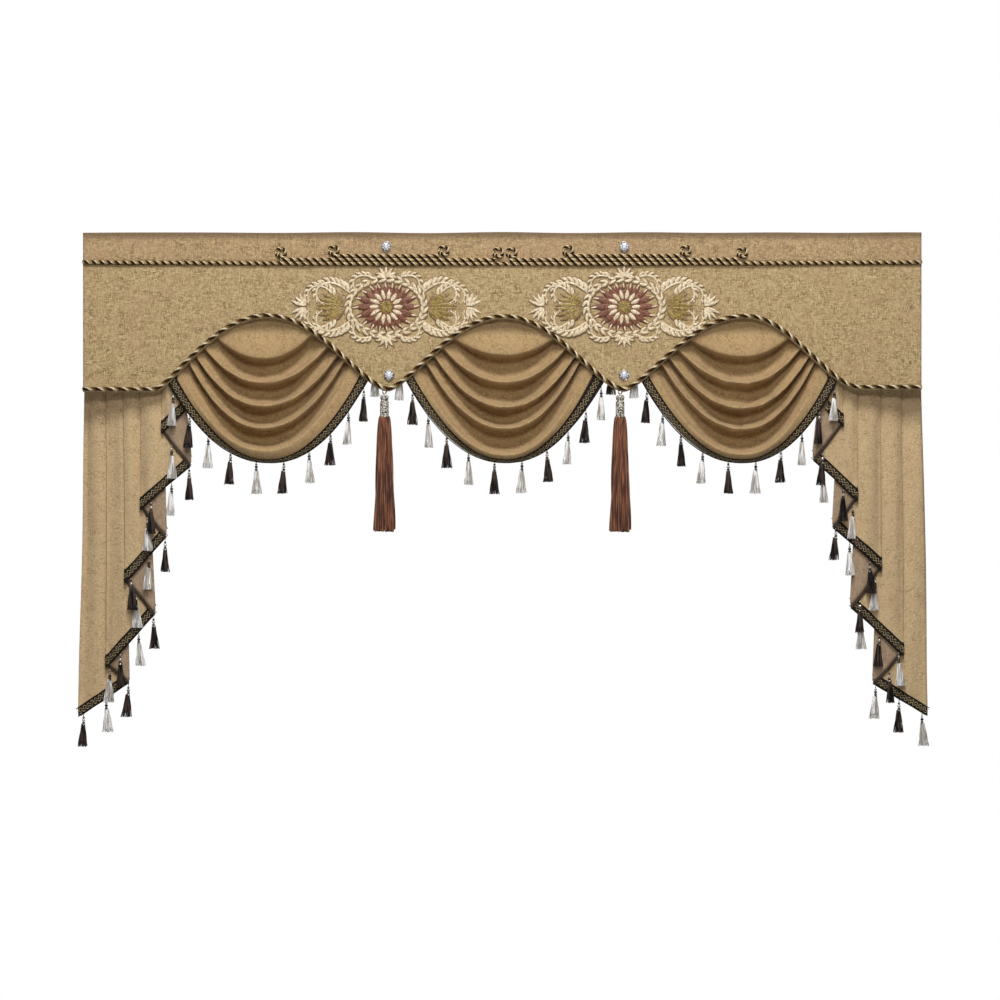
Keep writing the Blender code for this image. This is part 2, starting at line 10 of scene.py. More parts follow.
import logging
import math
from collections.abc import Callable, Iterable, Sequence
from dataclasses import dataclass, field
from enum import Enum
from typing import NamedTuple

import bpy
import numpy as np
from bpy.types import Material, Mesh, Node, NodeSocket, NodeTree, Object
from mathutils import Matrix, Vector


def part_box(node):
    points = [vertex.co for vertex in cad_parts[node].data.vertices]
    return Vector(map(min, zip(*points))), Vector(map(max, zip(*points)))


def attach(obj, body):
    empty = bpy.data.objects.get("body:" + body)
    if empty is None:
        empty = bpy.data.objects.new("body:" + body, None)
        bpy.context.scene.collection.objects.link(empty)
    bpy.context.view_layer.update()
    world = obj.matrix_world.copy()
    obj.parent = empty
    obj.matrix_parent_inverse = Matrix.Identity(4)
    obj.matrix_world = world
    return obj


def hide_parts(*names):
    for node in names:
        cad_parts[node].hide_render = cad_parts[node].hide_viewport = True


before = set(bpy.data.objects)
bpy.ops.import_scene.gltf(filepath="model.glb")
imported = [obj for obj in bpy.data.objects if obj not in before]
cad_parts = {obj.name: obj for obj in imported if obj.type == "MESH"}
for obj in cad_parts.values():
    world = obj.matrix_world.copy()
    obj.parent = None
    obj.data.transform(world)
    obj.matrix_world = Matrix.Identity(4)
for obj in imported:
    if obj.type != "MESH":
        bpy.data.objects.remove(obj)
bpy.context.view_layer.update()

MM = 0.001
BODY = "root"
LOG = logging.getLogger("valance")

Colour = tuple[float, float, float]
Grid = np.ndarray


def tone(red: int, green: int, blue: int) -> Colour:
    """Turns a display colour of 0 to 255 a channel into linear light."""
    shares = [channel / 255 for channel in (red, green, blue)]
    return tuple(s / 12.92 if s <= 0.04045 else ((s + 0.055) / 1.055) ** 2.4 for s in shares)


def span(node: str) -> tuple[np.ndarray, np.ndarray]:
    """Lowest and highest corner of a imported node."""
    low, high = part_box(node)
    return np.array(low), np.array(high)


def middle(node: str) -> np.ndarray:
    """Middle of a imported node's box."""
    low, high = span(node)
    return (low + high) / 2


# ---------------- node trees


class NodeCraft:
    """Short calls that add and link the nodes of one tree."""

    def __init__(self, tree: NodeTree) -> None:
        """Starts work on a tree."""
        self.tree = tree

    def feed(self, socket: NodeSocket, value: object) -> None:
        """Links a node or a socket into a socket, or sets the socket's plain value.

        Args:
            socket: The input to fill.
            value: A node (its first enabled output is used), a socket or a value.
        """
        if isinstance(value, Node):
            value = next(output for output in value.outputs if output.enabled)
        if isinstance(value, NodeSocket):
            self.tree.links.new(value, socket)
        else:
            socket.default_value = value

    def fill(self, node: Node, inputs: dict) -> None:
        """Feeds several inputs of a node, by name or number."""
        for key, value in inputs.items():
            self.feed(node.inputs[key], value)

    def add(self, kind: str, inputs: dict | None = None, **settings: object) -> Node:
        """Adds a node.

        Args:
            kind: The node's type name.
            inputs: Values or sources for its inputs, by name or number.
            settings: Properties of the node itself.

        Returns:
            The new node.
        """
        node = self.tree.nodes.new(kind)
        for name, value in settings.items():
            setattr(node, name, value)
        self.fill(node, inputs or {})
        return node

    def geo(self, kind: str, inputs: dict | None = None, **settings: object) -> Node:
        """Adds a geometry node, its kind given without the common prefix."""
        return self.add(f"GeometryNode{kind}", inputs, **settings)

    def math(self, operation: str, *values: object) -> NodeSocket:
        """Adds a Math node with its values in order and returns its result."""
        node = self.add("ShaderNodeMath", dict(enumerate(values)), operation=operation)
        return node.outputs[0]

    def times(self, *values: object) -> NodeSocket:
        """Multiplies two numbers."""
        return self.math("MULTIPLY", *values)

    def plus(self, *values: object) -> NodeSocket:
        """Adds two numbers."""
        return self.math("ADD", *values)

    def vector(self, operation: str, *values: object) -> NodeSocket:
        """Adds a Vector Math node with its vectors in order and returns its vector."""
        node = self.add("ShaderNodeVectorMath", dict(enumerate(values)), operation=operation)
        return node.outputs["Vector"]

    def scaled(self, source: object, amount: object) -> NodeSocket:
        """Multiplies a vector by one number."""
        node = self.add("ShaderNodeVectorMath", {0: source, "Scale": amount}, operation="SCALE")
        return node.outputs["Vector"]

    def join(self, x: object, y: object, z: object) -> NodeSocket:
        """Makes a vector from three numbers."""
        return self.add("ShaderNodeCombineXYZ", {0: x, 1: y, 2: z}).outputs[0]

    def split(self, source: object) -> list[NodeSocket]:
        """Splits a vector into its three numbers."""
        return list(self.add("ShaderNodeSeparateXYZ", {0: source}).outputs)

    def noise(self, vector: object, scale: object, detail: float = 2.0) -> NodeSocket:
        """Adds a noise texture and returns its grey value."""
        inputs = {"Vector": vector, "Scale": scale, "Detail": detail}
        return self.add("ShaderNodeTexNoise", inputs).outputs[0]

    def ramp(self, value: object, low: object, high: object) -> NodeSocket:
        """Stretches the range between low and high to 0 and 1, clamped and eased."""
        node = self.add("ShaderNodeMapRange", {0: value, 1: low, 2: high},
                        interpolation_type="SMOOTHSTEP")
        return node.outputs[0]

    def blend(self, factor: object, first: object, second: object) -> NodeSocket:
        """Mixes two colours."""
        colours = [(*c, 1.0) if isinstance(c, tuple) else c for c in (first, second)]
        inputs = {0: factor, 6: colours[0], 7: colours[1]}
        return self.add("ShaderNodeMix", inputs, data_type="RGBA").outputs[2]

    def bump(self, height: object, distance: float, strength: float) -> Node:
        """Adds a Bump node over a height."""
        inputs = {"Height": height, "Distance": distance, "Strength": strength}
        return self.add("ShaderNodeBump", inputs)


SOCKETS = {
    float: "NodeSocketFloat",
    int: "NodeSocketInt",
    "vector": "NodeSocketVector",
    "colour": "NodeSocketColor",
    "geometry": "NodeSocketGeometry",
    "material": "NodeSocketMaterial",
}


def new_group(name: str, kind: str, inputs: dict, outputs: dict) -> tuple:
    """Makes an empty node group with its sockets.

    Args:
        name: The group's name.
        kind: ShaderNodeTree or GeometryNodeTree.
        inputs: For each input's name, its kind in SOCKETS.
        outputs: The same for the outputs.

    Returns:
        The craft that works on it, its input node and its output node.
    """
    tree = bpy.data.node_groups.new(name, kind)
    for sockets, way in ((inputs, "INPUT"), (outputs, "OUTPUT")):
        for title, what in sockets.items():
            tree.interface.new_socket(name=title, in_out=way, socket_type=SOCKETS[what])
    craft = NodeCraft(tree)
    return craft, craft.add("NodeGroupInput"), craft.add("NodeGroupOutput")


# ---------------- shared shader groups

# Cycles a metre across and along the two sets of yarn, and of the long single slubs.
YARNS = ((440.0, 120.0), (110.0, 460.0))
LONG_SLUB = (42.0, 400.0, 1.0)
PATCHES = 38.0
MOTTLE = 11.0


def woven_group() -> NodeTree:
    """Slubbed chenille, from a vector in metres along the cloth.

    Returns:
        The group: Weave is a height; Slub, Mottle and Pile are masks.
    """
    inputs = {"Vector": "vector", "Threads": float, "Grain": float}
    outputs = {"Weave": float, "Slub": float, "Mottle": float, "Pile": float}
    craft, given, made = new_group("woven_cloth", "ShaderNodeTree", inputs, outputs)
    place = given.outputs["Vector"]
    x, y, _ = craft.split(craft.scaled(place, given.outputs["Threads"]))
    warp = craft.math("SINE", craft.times(x, math.pi))
    weft = craft.math("SINE", craft.times(y, math.pi))
    cross = craft.times(warp, weft)
    craft.feed(made.inputs["Weave"], craft.math("MULTIPLY_ADD", cross, 0.5, 0.5))
    piles, slubs = [], []
    for number, (wide, tall) in enumerate(YARNS):
        shifted = craft.vector("ADD", place, (3.1 * number, 1.7, 0.4))
        shifted = craft.scaled(shifted, given.outputs["Grain"])
        along = craft.vector("MULTIPLY", shifted, (wide, tall, 1.0))
        piles.append(craft.noise(along, 1.0, 2.0))
        fine = craft.vector("MULTIPLY", shifted, (wide * 1.3, tall * 0.75, 1.0))
        slubs.append(craft.ramp(craft.noise(fine, 1.0, 1.0), 0.60, 0.74))
    pile = craft.times(craft.plus(*piles), 0.5)
    patchy = craft.ramp(craft.noise(place, PATCHES, 2.0), 0.40, 0.62)
    lively = craft.math("MULTIPLY_ADD", patchy, 0.45, 0.65)
    pile = craft.math("SUBTRACT", craft.ramp(pile, 0.36, 0.64), 0.5)
    craft.feed(made.inputs["Pile"], craft.math("MULTIPLY_ADD", pile, lively, 0.5))
    long_thread = craft.vector("MULTIPLY", place, LONG_SLUB)
    long_thread = craft.ramp(craft.noise(long_thread, 1.0, 1.0), 0.63, 0.74)
    slub = craft.math("MAXIMUM", craft.math("MAXIMUM", *slubs), long_thread)
    craft.feed(made.inputs["Slub"], craft.times(slub, patchy))
    craft.feed(made.inputs["Mottle"], craft.noise(place, MOTTLE, 3.0))
    return craft.tree


def fibre_group() -> NodeTree:
    """Fine twisted fibres, from Object coordinates.

    Returns:
        The group: Shade is a mask and Height a height.
    """
    inputs = {"Vector": "vector", "Fineness": float}
    craft, given, made = new_group(
        "spun_fibre", "ShaderNodeTree", inputs, {"Shade": float, "Height": float})
    fine = craft.scaled(given.outputs["Vector"], given.outputs["Fineness"])
    craft.feed(made.inputs["Shade"], craft.noise(fine, 0.35, 2.0))
    craft.feed(made.inputs["Height"], craft.noise(fine, 1.0, 3.0))
    return craft.tree


class Library:
    """Shader groups that several finishes share, each built once."""

    def __init__(self) -> None:
        """Builds the shared groups."""
        self.woven = woven_group()
        self.fibre = fibre_group()


# ---------------- finishes


def new_material(name: str) -> tuple[Material, NodeCraft, Node]:
    """Makes a material.

    Args:
        name: The material's name.

    Returns:
        The material, the craft for its tree and its Principled node.
    """
    material = bpy.data.materials.new(name)
    material.use_nodes = True
    return material, NodeCraft(material.node_tree), material.node_tree.nodes["Principled BSDF"]


@dataclass(frozen=True)
class ClothFinish:
    """A slubby chenille weave, with painted shade darkening a rim at one height of its map if
    asked.
    """

    name: str
    ground: Colour
    pale: Colour
    blush: Colour
    slub: Colour
    threads: float = 820.0
    relief: float = 0.35
    sheen: float = 0.12
    grain: float = 1.0
    mottling: float = 0.3
    slubbing: float = 0.8
    bias: bool = False
    # The four rim fields paint shade: where it starts and where it is full along the map's
    # height, its colour and its strength.
    painted_shade_from: float = 10.0
    rim_to: float = 11.0
    rim: Colour = (0.2, 0.2, 0.2)
    painted_shade_strength: float = 0.8

    def build(self, library: Library) -> Material:
        """Builds the material, which reads the cloth's own map in metres."""
        material, craft, shader = new_material(self.name)
        place = craft.add("ShaderNodeUVMap", uv_map="cloth").outputs[0]
        grain_way = place
        if self.bias:
            slant = craft.vector("CROSS_PRODUCT", place, (0.0, 0.0, 1.0))
            grain_way = craft.scaled(craft.vector("ADD", place, slant), math.sqrt(0.5))
        inputs = {"Vector": grain_way, "Threads": self.threads, "Grain": self.grain}
        yarn = craft.add("ShaderNodeGroup", inputs, node_tree=library.woven).outputs
        mottle = craft.ramp(yarn["Mottle"], 0.40, 0.66)
        # Painted shade mask, rising along the map's height over the rim's span.
        rim = craft.ramp(craft.split(place)[1], self.painted_shade_from, self.rim_to)
        colour = craft.blend(yarn["Pile"], self.ground, self.pale)
        for mask, strength, dye in ((mottle, self.mottling, self.blush),
                                    (yarn["Slub"], self.slubbing, self.slub),
                                    (rim, self.painted_shade_strength, self.rim)):
            colour = craft.blend(craft.times(mask, strength), colour, dye)
        height = craft.math("MULTIPLY_ADD", yarn["Pile"], 1.6, yarn["Weave"])
        craft.fill(shader, {
            "Base Color": colour, "Roughness": 0.92, "Sheen Weight": self.sheen,
            "Sheen Roughness": 0.5, "Specular IOR Level": 0.25,
            "Normal": craft.bump(height, 0.0007, self.relief)})
        return material


@dataclass(frozen=True)
class ThreadFinish:
    """Spun yarn: cord strands, tassel threads and embroidery."""

    name: str
    colour: Colour
    deep: Colour
    fineness: float = 900.0
    roughness: float = 0.6
    sheen: float = 0.2
    upright: float = 1.0
    edge: float = 0.15
    gloss: float = 0.3

    def build(self, library: Library) -> Material:
        """Builds the material on Object coordinates, drawn out along Z where upright is low."""
        material, craft, shader = new_material(self.name)
        place = craft.add("ShaderNodeTexCoord").outputs["Object"]
        place = craft.vector("MULTIPLY", place, (1.0, 1.0, self.upright))
        inputs = {"Vector": place, "Fineness": self.fineness}
        fibre = craft.add("ShaderNodeGroup", inputs, node_tree=library.fibre).outputs
        shade = craft.ramp(fibre["Shade"], 0.5 - self.edge, 0.5 + self.edge)
        craft.fill(shader, {
            "Base Color": craft.blend(shade, self.colour, self.deep),
            "Roughness": self.roughness, "Sheen Weight": self.sheen,
            "Specular IOR Level": self.gloss,
            "Normal": craft.bump(fibre["Height"], 0.0004, 0.6)})
        return material


@dataclass(frozen=True)
class GlossFinish:
    """Polished bead, cast cap or faceted crystal."""

    name: str
    colour: Colour
    tarnish: Colour
    roughness: float
    metallic: float
    coat: float = 0.0
    wear_scale: float = 350.0
    worn_from: float = 0.45
    wear_width: float = 0.2
    wear_roughness: float = 0.15

    def build(self, library: Library) -> Material:
        """Builds the material with tarnish in patches, on Object coordinates."""
        material, craft, shader = new_material(self.name)
        place = craft.add("ShaderNodeTexCoord").outputs["Object"]
        inputs = {"Vector": place, "Fineness": self.wear_scale}
        fibre = craft.add("ShaderNodeGroup", inputs, node_tree=library.fibre).outputs
        worn = craft.ramp(fibre["Shade"], self.worn_from, self.worn_from + self.wear_width)
        craft.fill(shader, {
            "Base Color": craft.blend(worn, self.colour, self.tarnish),
            "Roughness": craft.math("MULTIPLY_ADD", worn, self.wear_roughness, self.roughness),
            "Metallic": self.metallic, "Coat Weight": self.coat})
        return material


@dataclass(frozen=True)
class BraidFinish:
    """Flat woven trimming: a dark ground with small pale picks along it."""

    name: str
    ground: Colour
    pick: Colour
    period: float = 0.009
    swing: float = 0.0022
    row_pitch: float = 0.0055
    threads: float = 1100.0

    def build(self, library: Library) -> Material:
        """Builds the material, which reads the braid's map: metres along, metres across."""
        material, craft, shader = new_material(self.name)
        place = craft.add("ShaderNodeUVMap", uv_map="cloth").outputs[0]
        inputs = {"Vector": place, "Threads": self.threads, "Grain": 1.0}
        yarn = craft.add("ShaderNodeGroup", inputs, node_tree=library.woven).outputs
        along, across, _ = craft.split(place)
        turn = craft.times(along, 2 * math.pi / self.period)
        swing = craft.times(craft.math("SINE", turn), self.swing)
        rows = craft.plus(across, swing)
        rows = craft.times(rows, 2 * math.pi / self.row_pitch)
        picks = craft.ramp(craft.math("SINE", rows), 0.55, 0.9)
        picks = craft.times(picks, yarn["Pile"])
        height = craft.plus(yarn["Weave"], picks)
        craft.fill(shader, {
            "Base Color": craft.blend(picks, self.ground, self.pick), "Roughness": 0.85,
            "Normal": craft.bump(height, 0.0006, 0.7)})
        return material


class Finish(Enum):
    """Every finish of the valance."""

    # The heading's rim paints shade: the cloth darkens over its top 18 mm, up to the top edge.
    HEADING = ClothFinish("heading_chenille", tone(146, 120, 86), tone(208, 180, 136),
                          tone(190, 154, 124), tone(112, 88, 58), painted_shade_from=-0.018,
                          rim_to=0.0, rim=tone(100, 83, 60))
    PANEL = ClothFinish("panel_chenille", tone(145, 122, 81), tone(211, 187, 142),
                        tone(188, 156, 120), tone(112, 88, 54))
    SWAG = ClothFinish("swag_chenille", tone(157, 127, 85), tone(200, 171, 126),
                       tone(186, 152, 112), tone(122, 90, 54), grain=1.5, bias=True)
    # The tails' chenille is the panel's cloth painted lighter, standing in for light that
    # reaches the tails less.
    TAIL = ClothFinish("tail_chenille", tone(178, 151, 110), tone(224, 198, 156),
                       tone(202, 168, 134), tone(132, 106, 72), grain=1.5)
    REVERSE = ClothFinish("cloth_reverse", tone(154, 130, 104), tone(186, 162, 134),
                          tone(170, 142, 120), tone(118, 96, 74), relief=0.4)
    BRAID = BraidFinish("scroll_braid", tone(30, 21, 10), tone(70, 56, 36))
    BRAID_BACK = BraidFinish("braid_back", tone(84, 68, 54), tone(110, 92, 74))
    GIMP = ThreadFinish("gimp_cord", tone(206, 187, 144), tone(150, 128, 92), sheen=0.05)
    BORDER = ThreadFinish("braid_border", tone(32, 22, 11), tone(18, 12, 5), sheen=0.0,
                          gloss=0.1)
    CORD_DARK = ThreadFinish("cord_umber", tone(66, 40, 14), tone(34, 19, 6), sheen=0.0,
                             gloss=0.1)
    CORD_BRONZE = ThreadFinish("cord_bronze", tone(150, 118, 66), tone(92, 66, 30), sheen=0.02,
                               gloss=0.2)
    CORD_GOLD = ThreadFinish("cord_gold", tone(210, 182, 128), tone(138, 108, 60),
                             roughness=0.5, sheen=0.05)
    CORD_CREAM = ThreadFinish("cord_cream", tone(255, 247, 218), tone(226, 206, 160),
                              roughness=0.45)
    THREAD_DARK = ThreadFinish("tassel_umber", tone(74, 60, 54), tone(12, 9, 8),
                               fineness=420.0, sheen=0.03, upright=0.1, edge=0.06, gloss=0.2)
    THREAD_SILVER = ThreadFinish("tassel_silver", tone(255, 254, 252), tone(186, 180, 172),
                                 fineness=420.0, roughness=0.45, sheen=0.2, upright=0.1,
                                 edge=0.07)
    THREAD_RUSSET = ThreadFinish("tassel_russet", tone(156, 100, 68), tone(80, 44, 28),
                                 fineness=1100.0, sheen=0.15, upright=0.04, edge=0.1)
    THREAD_BRICK = ThreadFinish("tassel_brick", tone(100, 58, 40), tone(50, 27, 18),
                                fineness=1100.0, sheen=0.1, upright=0.04, edge=0.1)
    BEAD_SILVER = GlossFinish("bead_silver", tone(226, 222, 212), tone(150, 142, 126), 0.2, 0.6)
    BEAD_DARK = GlossFinish("bead_jet", tone(36, 30, 28), tone(20, 16, 15), 0.18, 0.1, 1.0)
    CAP = GlossFinish("cap_antique", tone(232, 227, 212), tone(34, 26, 17), 0.35, 0.2,
                      wear_scale=800.0, worn_from=0.42)
    # The crystal's facets take this finish and, on some of them, the darker copy below, which
    # paints shade.
    CRYSTAL = GlossFinish("crystal", tone(253, 253, 255), tone(226, 230, 242), 0.05, 0.1, 1.0)
    CRYSTAL_SHADE = GlossFinish("crystal_shade", tone(146, 146, 162), tone(110, 106, 118), 0.05,
                                0.3, 1.0)
    SATIN_CREAM = ThreadFinish("satin_cream", tone(250, 234, 204), tone(206, 184, 146),
                               roughness=0.4)
    SATIN_MAROON = ThreadFinish("satin_maroon", tone(150, 98, 74), tone(92, 54, 40),
                                roughness=0.5)
    SATIN_OLIVE = ThreadFinish("satin_olive", tone(178, 152, 84), tone(116, 94, 46),
                               roughness=0.4)
    # The darker underlay thread under cream and olive strokes: partly their own darker outline,
    # partly painted shade round the raised stitches.
    SATIN_SHADE = ThreadFinish("satin_shade", tone(172, 146, 108), tone(128, 102, 70),
                               roughness=0.6)


class Wardrobe:
    """Builds each finish the first time a piece asks for it."""

    def __init__(self) -> None:
        """Starts with the shared groups and no material."""
        self.library = Library()
        self.made: dict[Finish, Material] = {}

    def __getitem__(self, finish: Finish) -> Material:
        """The material of a finish."""
        if finish not in self.made:
            self.made[finish] = finish.value.build(self.library)
        return self.made[finish]


# ---------------- meshes


def fit(name: str, mesh: Mesh, slot: str, *nodes: str) -> Object:
    """Puts a mesh in the scene as a piece that rides on the valance's body.

    Args:
        name: The piece's name.
        mesh: Its mesh.
        slot: The record's material slot; not used.
        nodes: The solids that it stands for, if any.

    Returns:
        The piece.
    """
    piece = bpy.data.objects.new(name, mesh)
    bpy.context.scene.collection.objects.link(piece)
    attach(piece, BODY)
    if nodes:
        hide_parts(*nodes)
    LOG.info("%s: %d faces", name, len(mesh.polygons))
    return piece


def line_mesh(name: str, runs: Sequence[np.ndarray], **traits: Sequence) -> Object:
    """Makes an object of polylines or loose points that a node tree works on.

    Args:
        name: Its name.
        runs: One array of points for each polyline.
        traits: For each attribute's name, its values over all points.

    Returns:
        The object, linked to the scene.
    """
    points = np.concatenate(runs)
    edges, start = [], 0
    for run in runs:
        edges += [(start + i, start + i + 1) for i in range(len(run) - 1)]
        start += len(run)
    mesh = bpy.data.meshes.new(name)
    mesh.from_pydata(points.tolist(), edges, [])
    for title, values in traits.items():
        values = np.asarray(values, float)
        kind, key = ("FLOAT_VECTOR", "vector") if values.ndim == 2 else ("FLOAT", "value")
        mesh.attributes.new(title, kind, "POINT").data.foreach_set(key, values.ravel())
    guide = bpy.data.objects.new(name, mesh)
    bpy.context.scene.collection.objects.link(guide)
    return guide


def grow(guide: Object, tree: NodeTree, **inputs: object) -> Mesh:
    """Runs a geometry tree on a guide and keeps the result as a plain mesh.

    Args:
        guide: The object that holds the tree's points; it is removed.
        tree: The tree.
        inputs: Its inputs, with spaces in a name as underscores.

    Returns:
        The mesh.
    """
    modifier = guide.modifiers.new(tree.name, "NODES")
    modifier.node_group = tree
    for item in tree.interface.items_tree:
        key = item.name.replace(" ", "_").lower()
        if item.in_out == "INPUT" and key in inputs:
            modifier[item.identifier] = inputs.pop(key)
    if inputs:
        raise ValueError(f"{tree.name} has no input named {sorted(inputs)}")
    graph = bpy.context.evaluated_depsgraph_get()
    mesh = bpy.data.meshes.new_from_object(guide.evaluated_get(graph), depsgraph=graph)
    mesh.name = guide.name
    bpy.data.objects.remove(guide, do_unlink=True)
    return mesh


def join_meshes(name: str, meshes: Iterable[Mesh]) -> Mesh:
    """Joins meshes into one, with their materials kept."""
    objects = [bpy.data.objects.new(name, mesh) for mesh in meshes]
    for item in objects:
        bpy.context.scene.collection.objects.link(item)
    with bpy.context.temp_override(active_object=objects[0], object=objects[0],
                                   selected_objects=objects, selected_editable_objects=objects):
        bpy.ops.object.join()
    mesh = objects[0].data
    bpy.data.objects.remove(objects[0], do_unlink=True)
    return mesh


def face_mesh(name: str, points: np.ndarray, faces: list, materials: Sequence,
              chosen: Sequence[int] | None = None, smooth: bool = True) -> Mesh:
    """Makes a mesh from points in metres.

    Args:
        name: Its name.
        points: The points.
        faces: The faces, as tuples of point numbers.
        materials: Its materials.
        chosen: The material's number for each face, all 0 if left out.
        smooth: Whether it is shaded smooth.

    Returns:
        The mesh.
    """
    mesh = bpy.data.meshes.new(name)
    mesh.from_pydata(np.asarray(points).tolist(), [], faces)
    for material in materials:
        mesh.materials.append(material)
    if chosen is not None:
        mesh.polygons.foreach_set("material_index", list(chosen))
    mesh.polygons.foreach_set("use_smooth", [smooth] * len(faces))
    mesh.update()
    return mesh


def grid_normals(grid: Grid) -> Grid:
    """Unit normals of a grid, pointing to the back."""
    normals = np.cross(np.gradient(grid, axis=1), np.gradient(grid, axis=0))
    return normals / np.linalg.norm(normals, axis=2, keepdims=True)


def cloth_mesh(name: str, grid: Grid, thickness: float, materials: Sequence,
               cloth_map: np.ndarray | None = None) -> Mesh:
    """Gives a grid its thickness, with a front, a back and a rounded rim.

    Args:
        name: The mesh's name.
        grid: Rows by columns of points in metres, top row first, left to right.
        thickness: The cloth's thickness in metres.
        materials: The front's and the back's.
        cloth_map: Rows by columns of the cloth's own map in metres; arc lengths if None.

    Returns:
        The closed mesh, with the map named cloth.
    """
    rows, columns = grid.shape[:2]
    size = rows * columns
    normals = grid_normals(grid)
    half = thickness / 2
    points = np.concatenate([(grid - half * normals).reshape(-1, 3),
                             (grid + half * normals).reshape(-1, 3)])
    index = np.arange(size).reshape(rows, columns)
    front = np.stack([index[:-1, :-1], index[1:, :-1], index[1:, 1:], index[:-1, 1:]], axis=-1)
    front = front.reshape(-1, 4)
    back = front[:, ::-1] + size
    rim = np.concatenate([index[0, :-1], index[:-1, -1], index[-1, :0:-1], index[:0:-1, 0]])
    after = np.roll(rim, -1)
    around = np.stack([rim, after, after + size, rim + size], axis=-1)
    faces = np.concatenate([front, back, around])
    chosen = [0] * len(front) + [1] * len(back) + [0] * len(around)
    mesh = face_mesh(name, points, faces.tolist(), materials, chosen)
    if cloth_map is None:
        cloth_map = arc_map(grid)
    flat = np.tile(cloth_map.reshape(-1, 2), (2, 1))
    layer = mesh.uv_layers.new(name="cloth")
    layer.data.foreach_set("uv", flat[faces.ravel()].ravel())
    return mesh


def arc_map(grid: Grid) -> np.ndarray:
    """The cloth's own map: metres along its rows and down its columns."""
    across = np.linalg.norm(np.diff(grid, axis=1), axis=2)
    down = np.linalg.norm(np.diff(grid, axis=0), axis=2)
    u = np.concatenate([np.zeros((len(grid), 1)), np.cumsum(across, axis=1)], axis=1)
    u -= u[:, [grid.shape[1] // 2]]
    v = np.concatenate([np.zeros((1, grid.shape[1])), -np.cumsum(down, axis=0)])
    return np.stack([u, v], axis=-1)


def sheet_area(grid: Grid) -> float:
    """Area of a grid of points."""
    first = np.cross(grid[1:, :-1] - grid[:-1, :-1], grid[:-1, 1:] - grid[:-1, :-1])
    second = np.cross(grid[1:, :-1] - grid[1:, 1:], grid[:-1, 1:] - grid[1:, 1:])
    return float((np.linalg.norm(first, axis=2) + np.linalg.norm(second, axis=2)).sum() / 2)


def declare(piece: Object, grid: Grid, flat: tuple[float, float]) -> None:
    """Logs the area of a piece of cloth that was cut flat.

    Args:
        piece: The cloth.
        grid: Its points, which give its area.
        flat: Width and length that it was cut from, in metres.
    """
    area = sheet_area(grid)
    LOG.info("%s: area %.4f m2", piece.name, area)
    round(min(area, flat[0] * flat[1]), 4)


def smooth_rows(control: Grid, steps: Sequence[int]) -> Grid:
    """Runs a smooth curve down the columns through the rows of a control grid.

    Args:
        control: The rows that the surface passes through.
        steps: How many rows to make in each gap between two control rows.

    Returns:
        The finer grid.
    """
    padded = np.concatenate([2 * control[:1] - control[1:2], control,
                             2 * control[-1:] - control[-2:-1]])
    rows = []
    for number, count in enumerate(steps):
        before, here, after, beyond = padded[number:number + 4]
        for t in np.arange(count) / count:
            rows.append(0.5 * (2 * here + (after - before) * t
                               + (2 * before - 5 * here + 4 * after - beyond) * t * t
                               + (3 * here - before - 3 * after + beyond) * t ** 3))
    return np.array(rows + [control[-1]])


def ripple(first: np.ndarray, second: np.ndarray, seed: int, count: int = 5) -> np.ndarray:
    """A soft uneven surface between about -1 and 1, from a few crossing waves.

    Args:
        first: First coordinate, in wavelengths.
        second: Second coordinate, in wavelengths.
        seed: Fixes the waves' directions and phases.
        count: How many waves.

    Returns:
        The surface's heights.
    """
    draw = np.random.default_rng(seed)
    total = np.zeros(np.broadcast(first, second).shape)
    for _ in range(count):
        lean, phase = draw.uniform(-0.5, 0.5), draw.uniform(0, 6.28)
        pace = draw.uniform(0.6, 1.5)
        total = total + np.sin(2 * math.pi * pace * (first + lean * second) + phase)
    return total / math.sqrt(2 * count)


class Waves(NamedTuple):
    """A set of crossing waves: their lengths along two ways, and what tells sets apart."""

    first: float
    second: float
    salt: int

    def at(self, first: np.ndarray, second: np.ndarray, seed: int = 0) -> np.ndarray:
        """Their height at two coordinates, between about -1 and 1."""
        return ripple(first / self.first, second / self.second, seed + self.salt)


def circle(centre: Sequence[float], reach: float | np.ndarray, angles: np.ndarray,
           sunk: float | np.ndarray = 0.0) -> np.ndarray:
    """Points round a centre, in the plane of the front.

    Args:
        centre: The centre.
        reach: The radius, or one for each point.
        angles: The points' angles, from +X towards +Z.
        sunk: How far the points lie behind the centre.

    Returns:
        The points.
    """
    return np.column_stack([centre[0] + reach * np.cos(angles),
                            np.full(len(angles), centre[1]) + sunk,
                            centre[2] + reach * np.sin(angles)])


def smooth_step(value: np.ndarray | float) -> np.ndarray:
    """Eases from 0 to 1."""
    value = np.clip(value, 0.0, 1.0)
    return value * value * (3 - 2 * value)


def places_along(path: np.ndarray, distances: np.ndarray) -> np.ndarray:
    """Points at given distances along a path of points."""
    steps = np.linalg.norm(np.diff(path, axis=0), axis=1)
    travelled = np.concatenate([[0.0], np.cumsum(steps)])
    return np.column_stack([np.interp(distances, travelled, path[:, i]) for i in range(3)])


# ---------------- geometry trees

GOLDEN_ANGLE = 2.399963


def geometry_tree(name: str, **inputs: object) -> tuple:
    """Makes an empty geometry tree.

    Args:
        name: The tree's name.
        inputs: For each input's name, its kind in SOCKETS, with underscores for spaces.

    Returns:
        The craft that works on it, the sockets it is given and the socket of its result.
    """
    titled = {title.replace("_", " "): kind for title, kind in inputs.items()}
    shape = {"Geometry": "geometry"}
    craft, given, made = new_group(name, "GeometryNodeTree", shape | titled, shape)
    return craft, given.outputs, made.inputs[0]


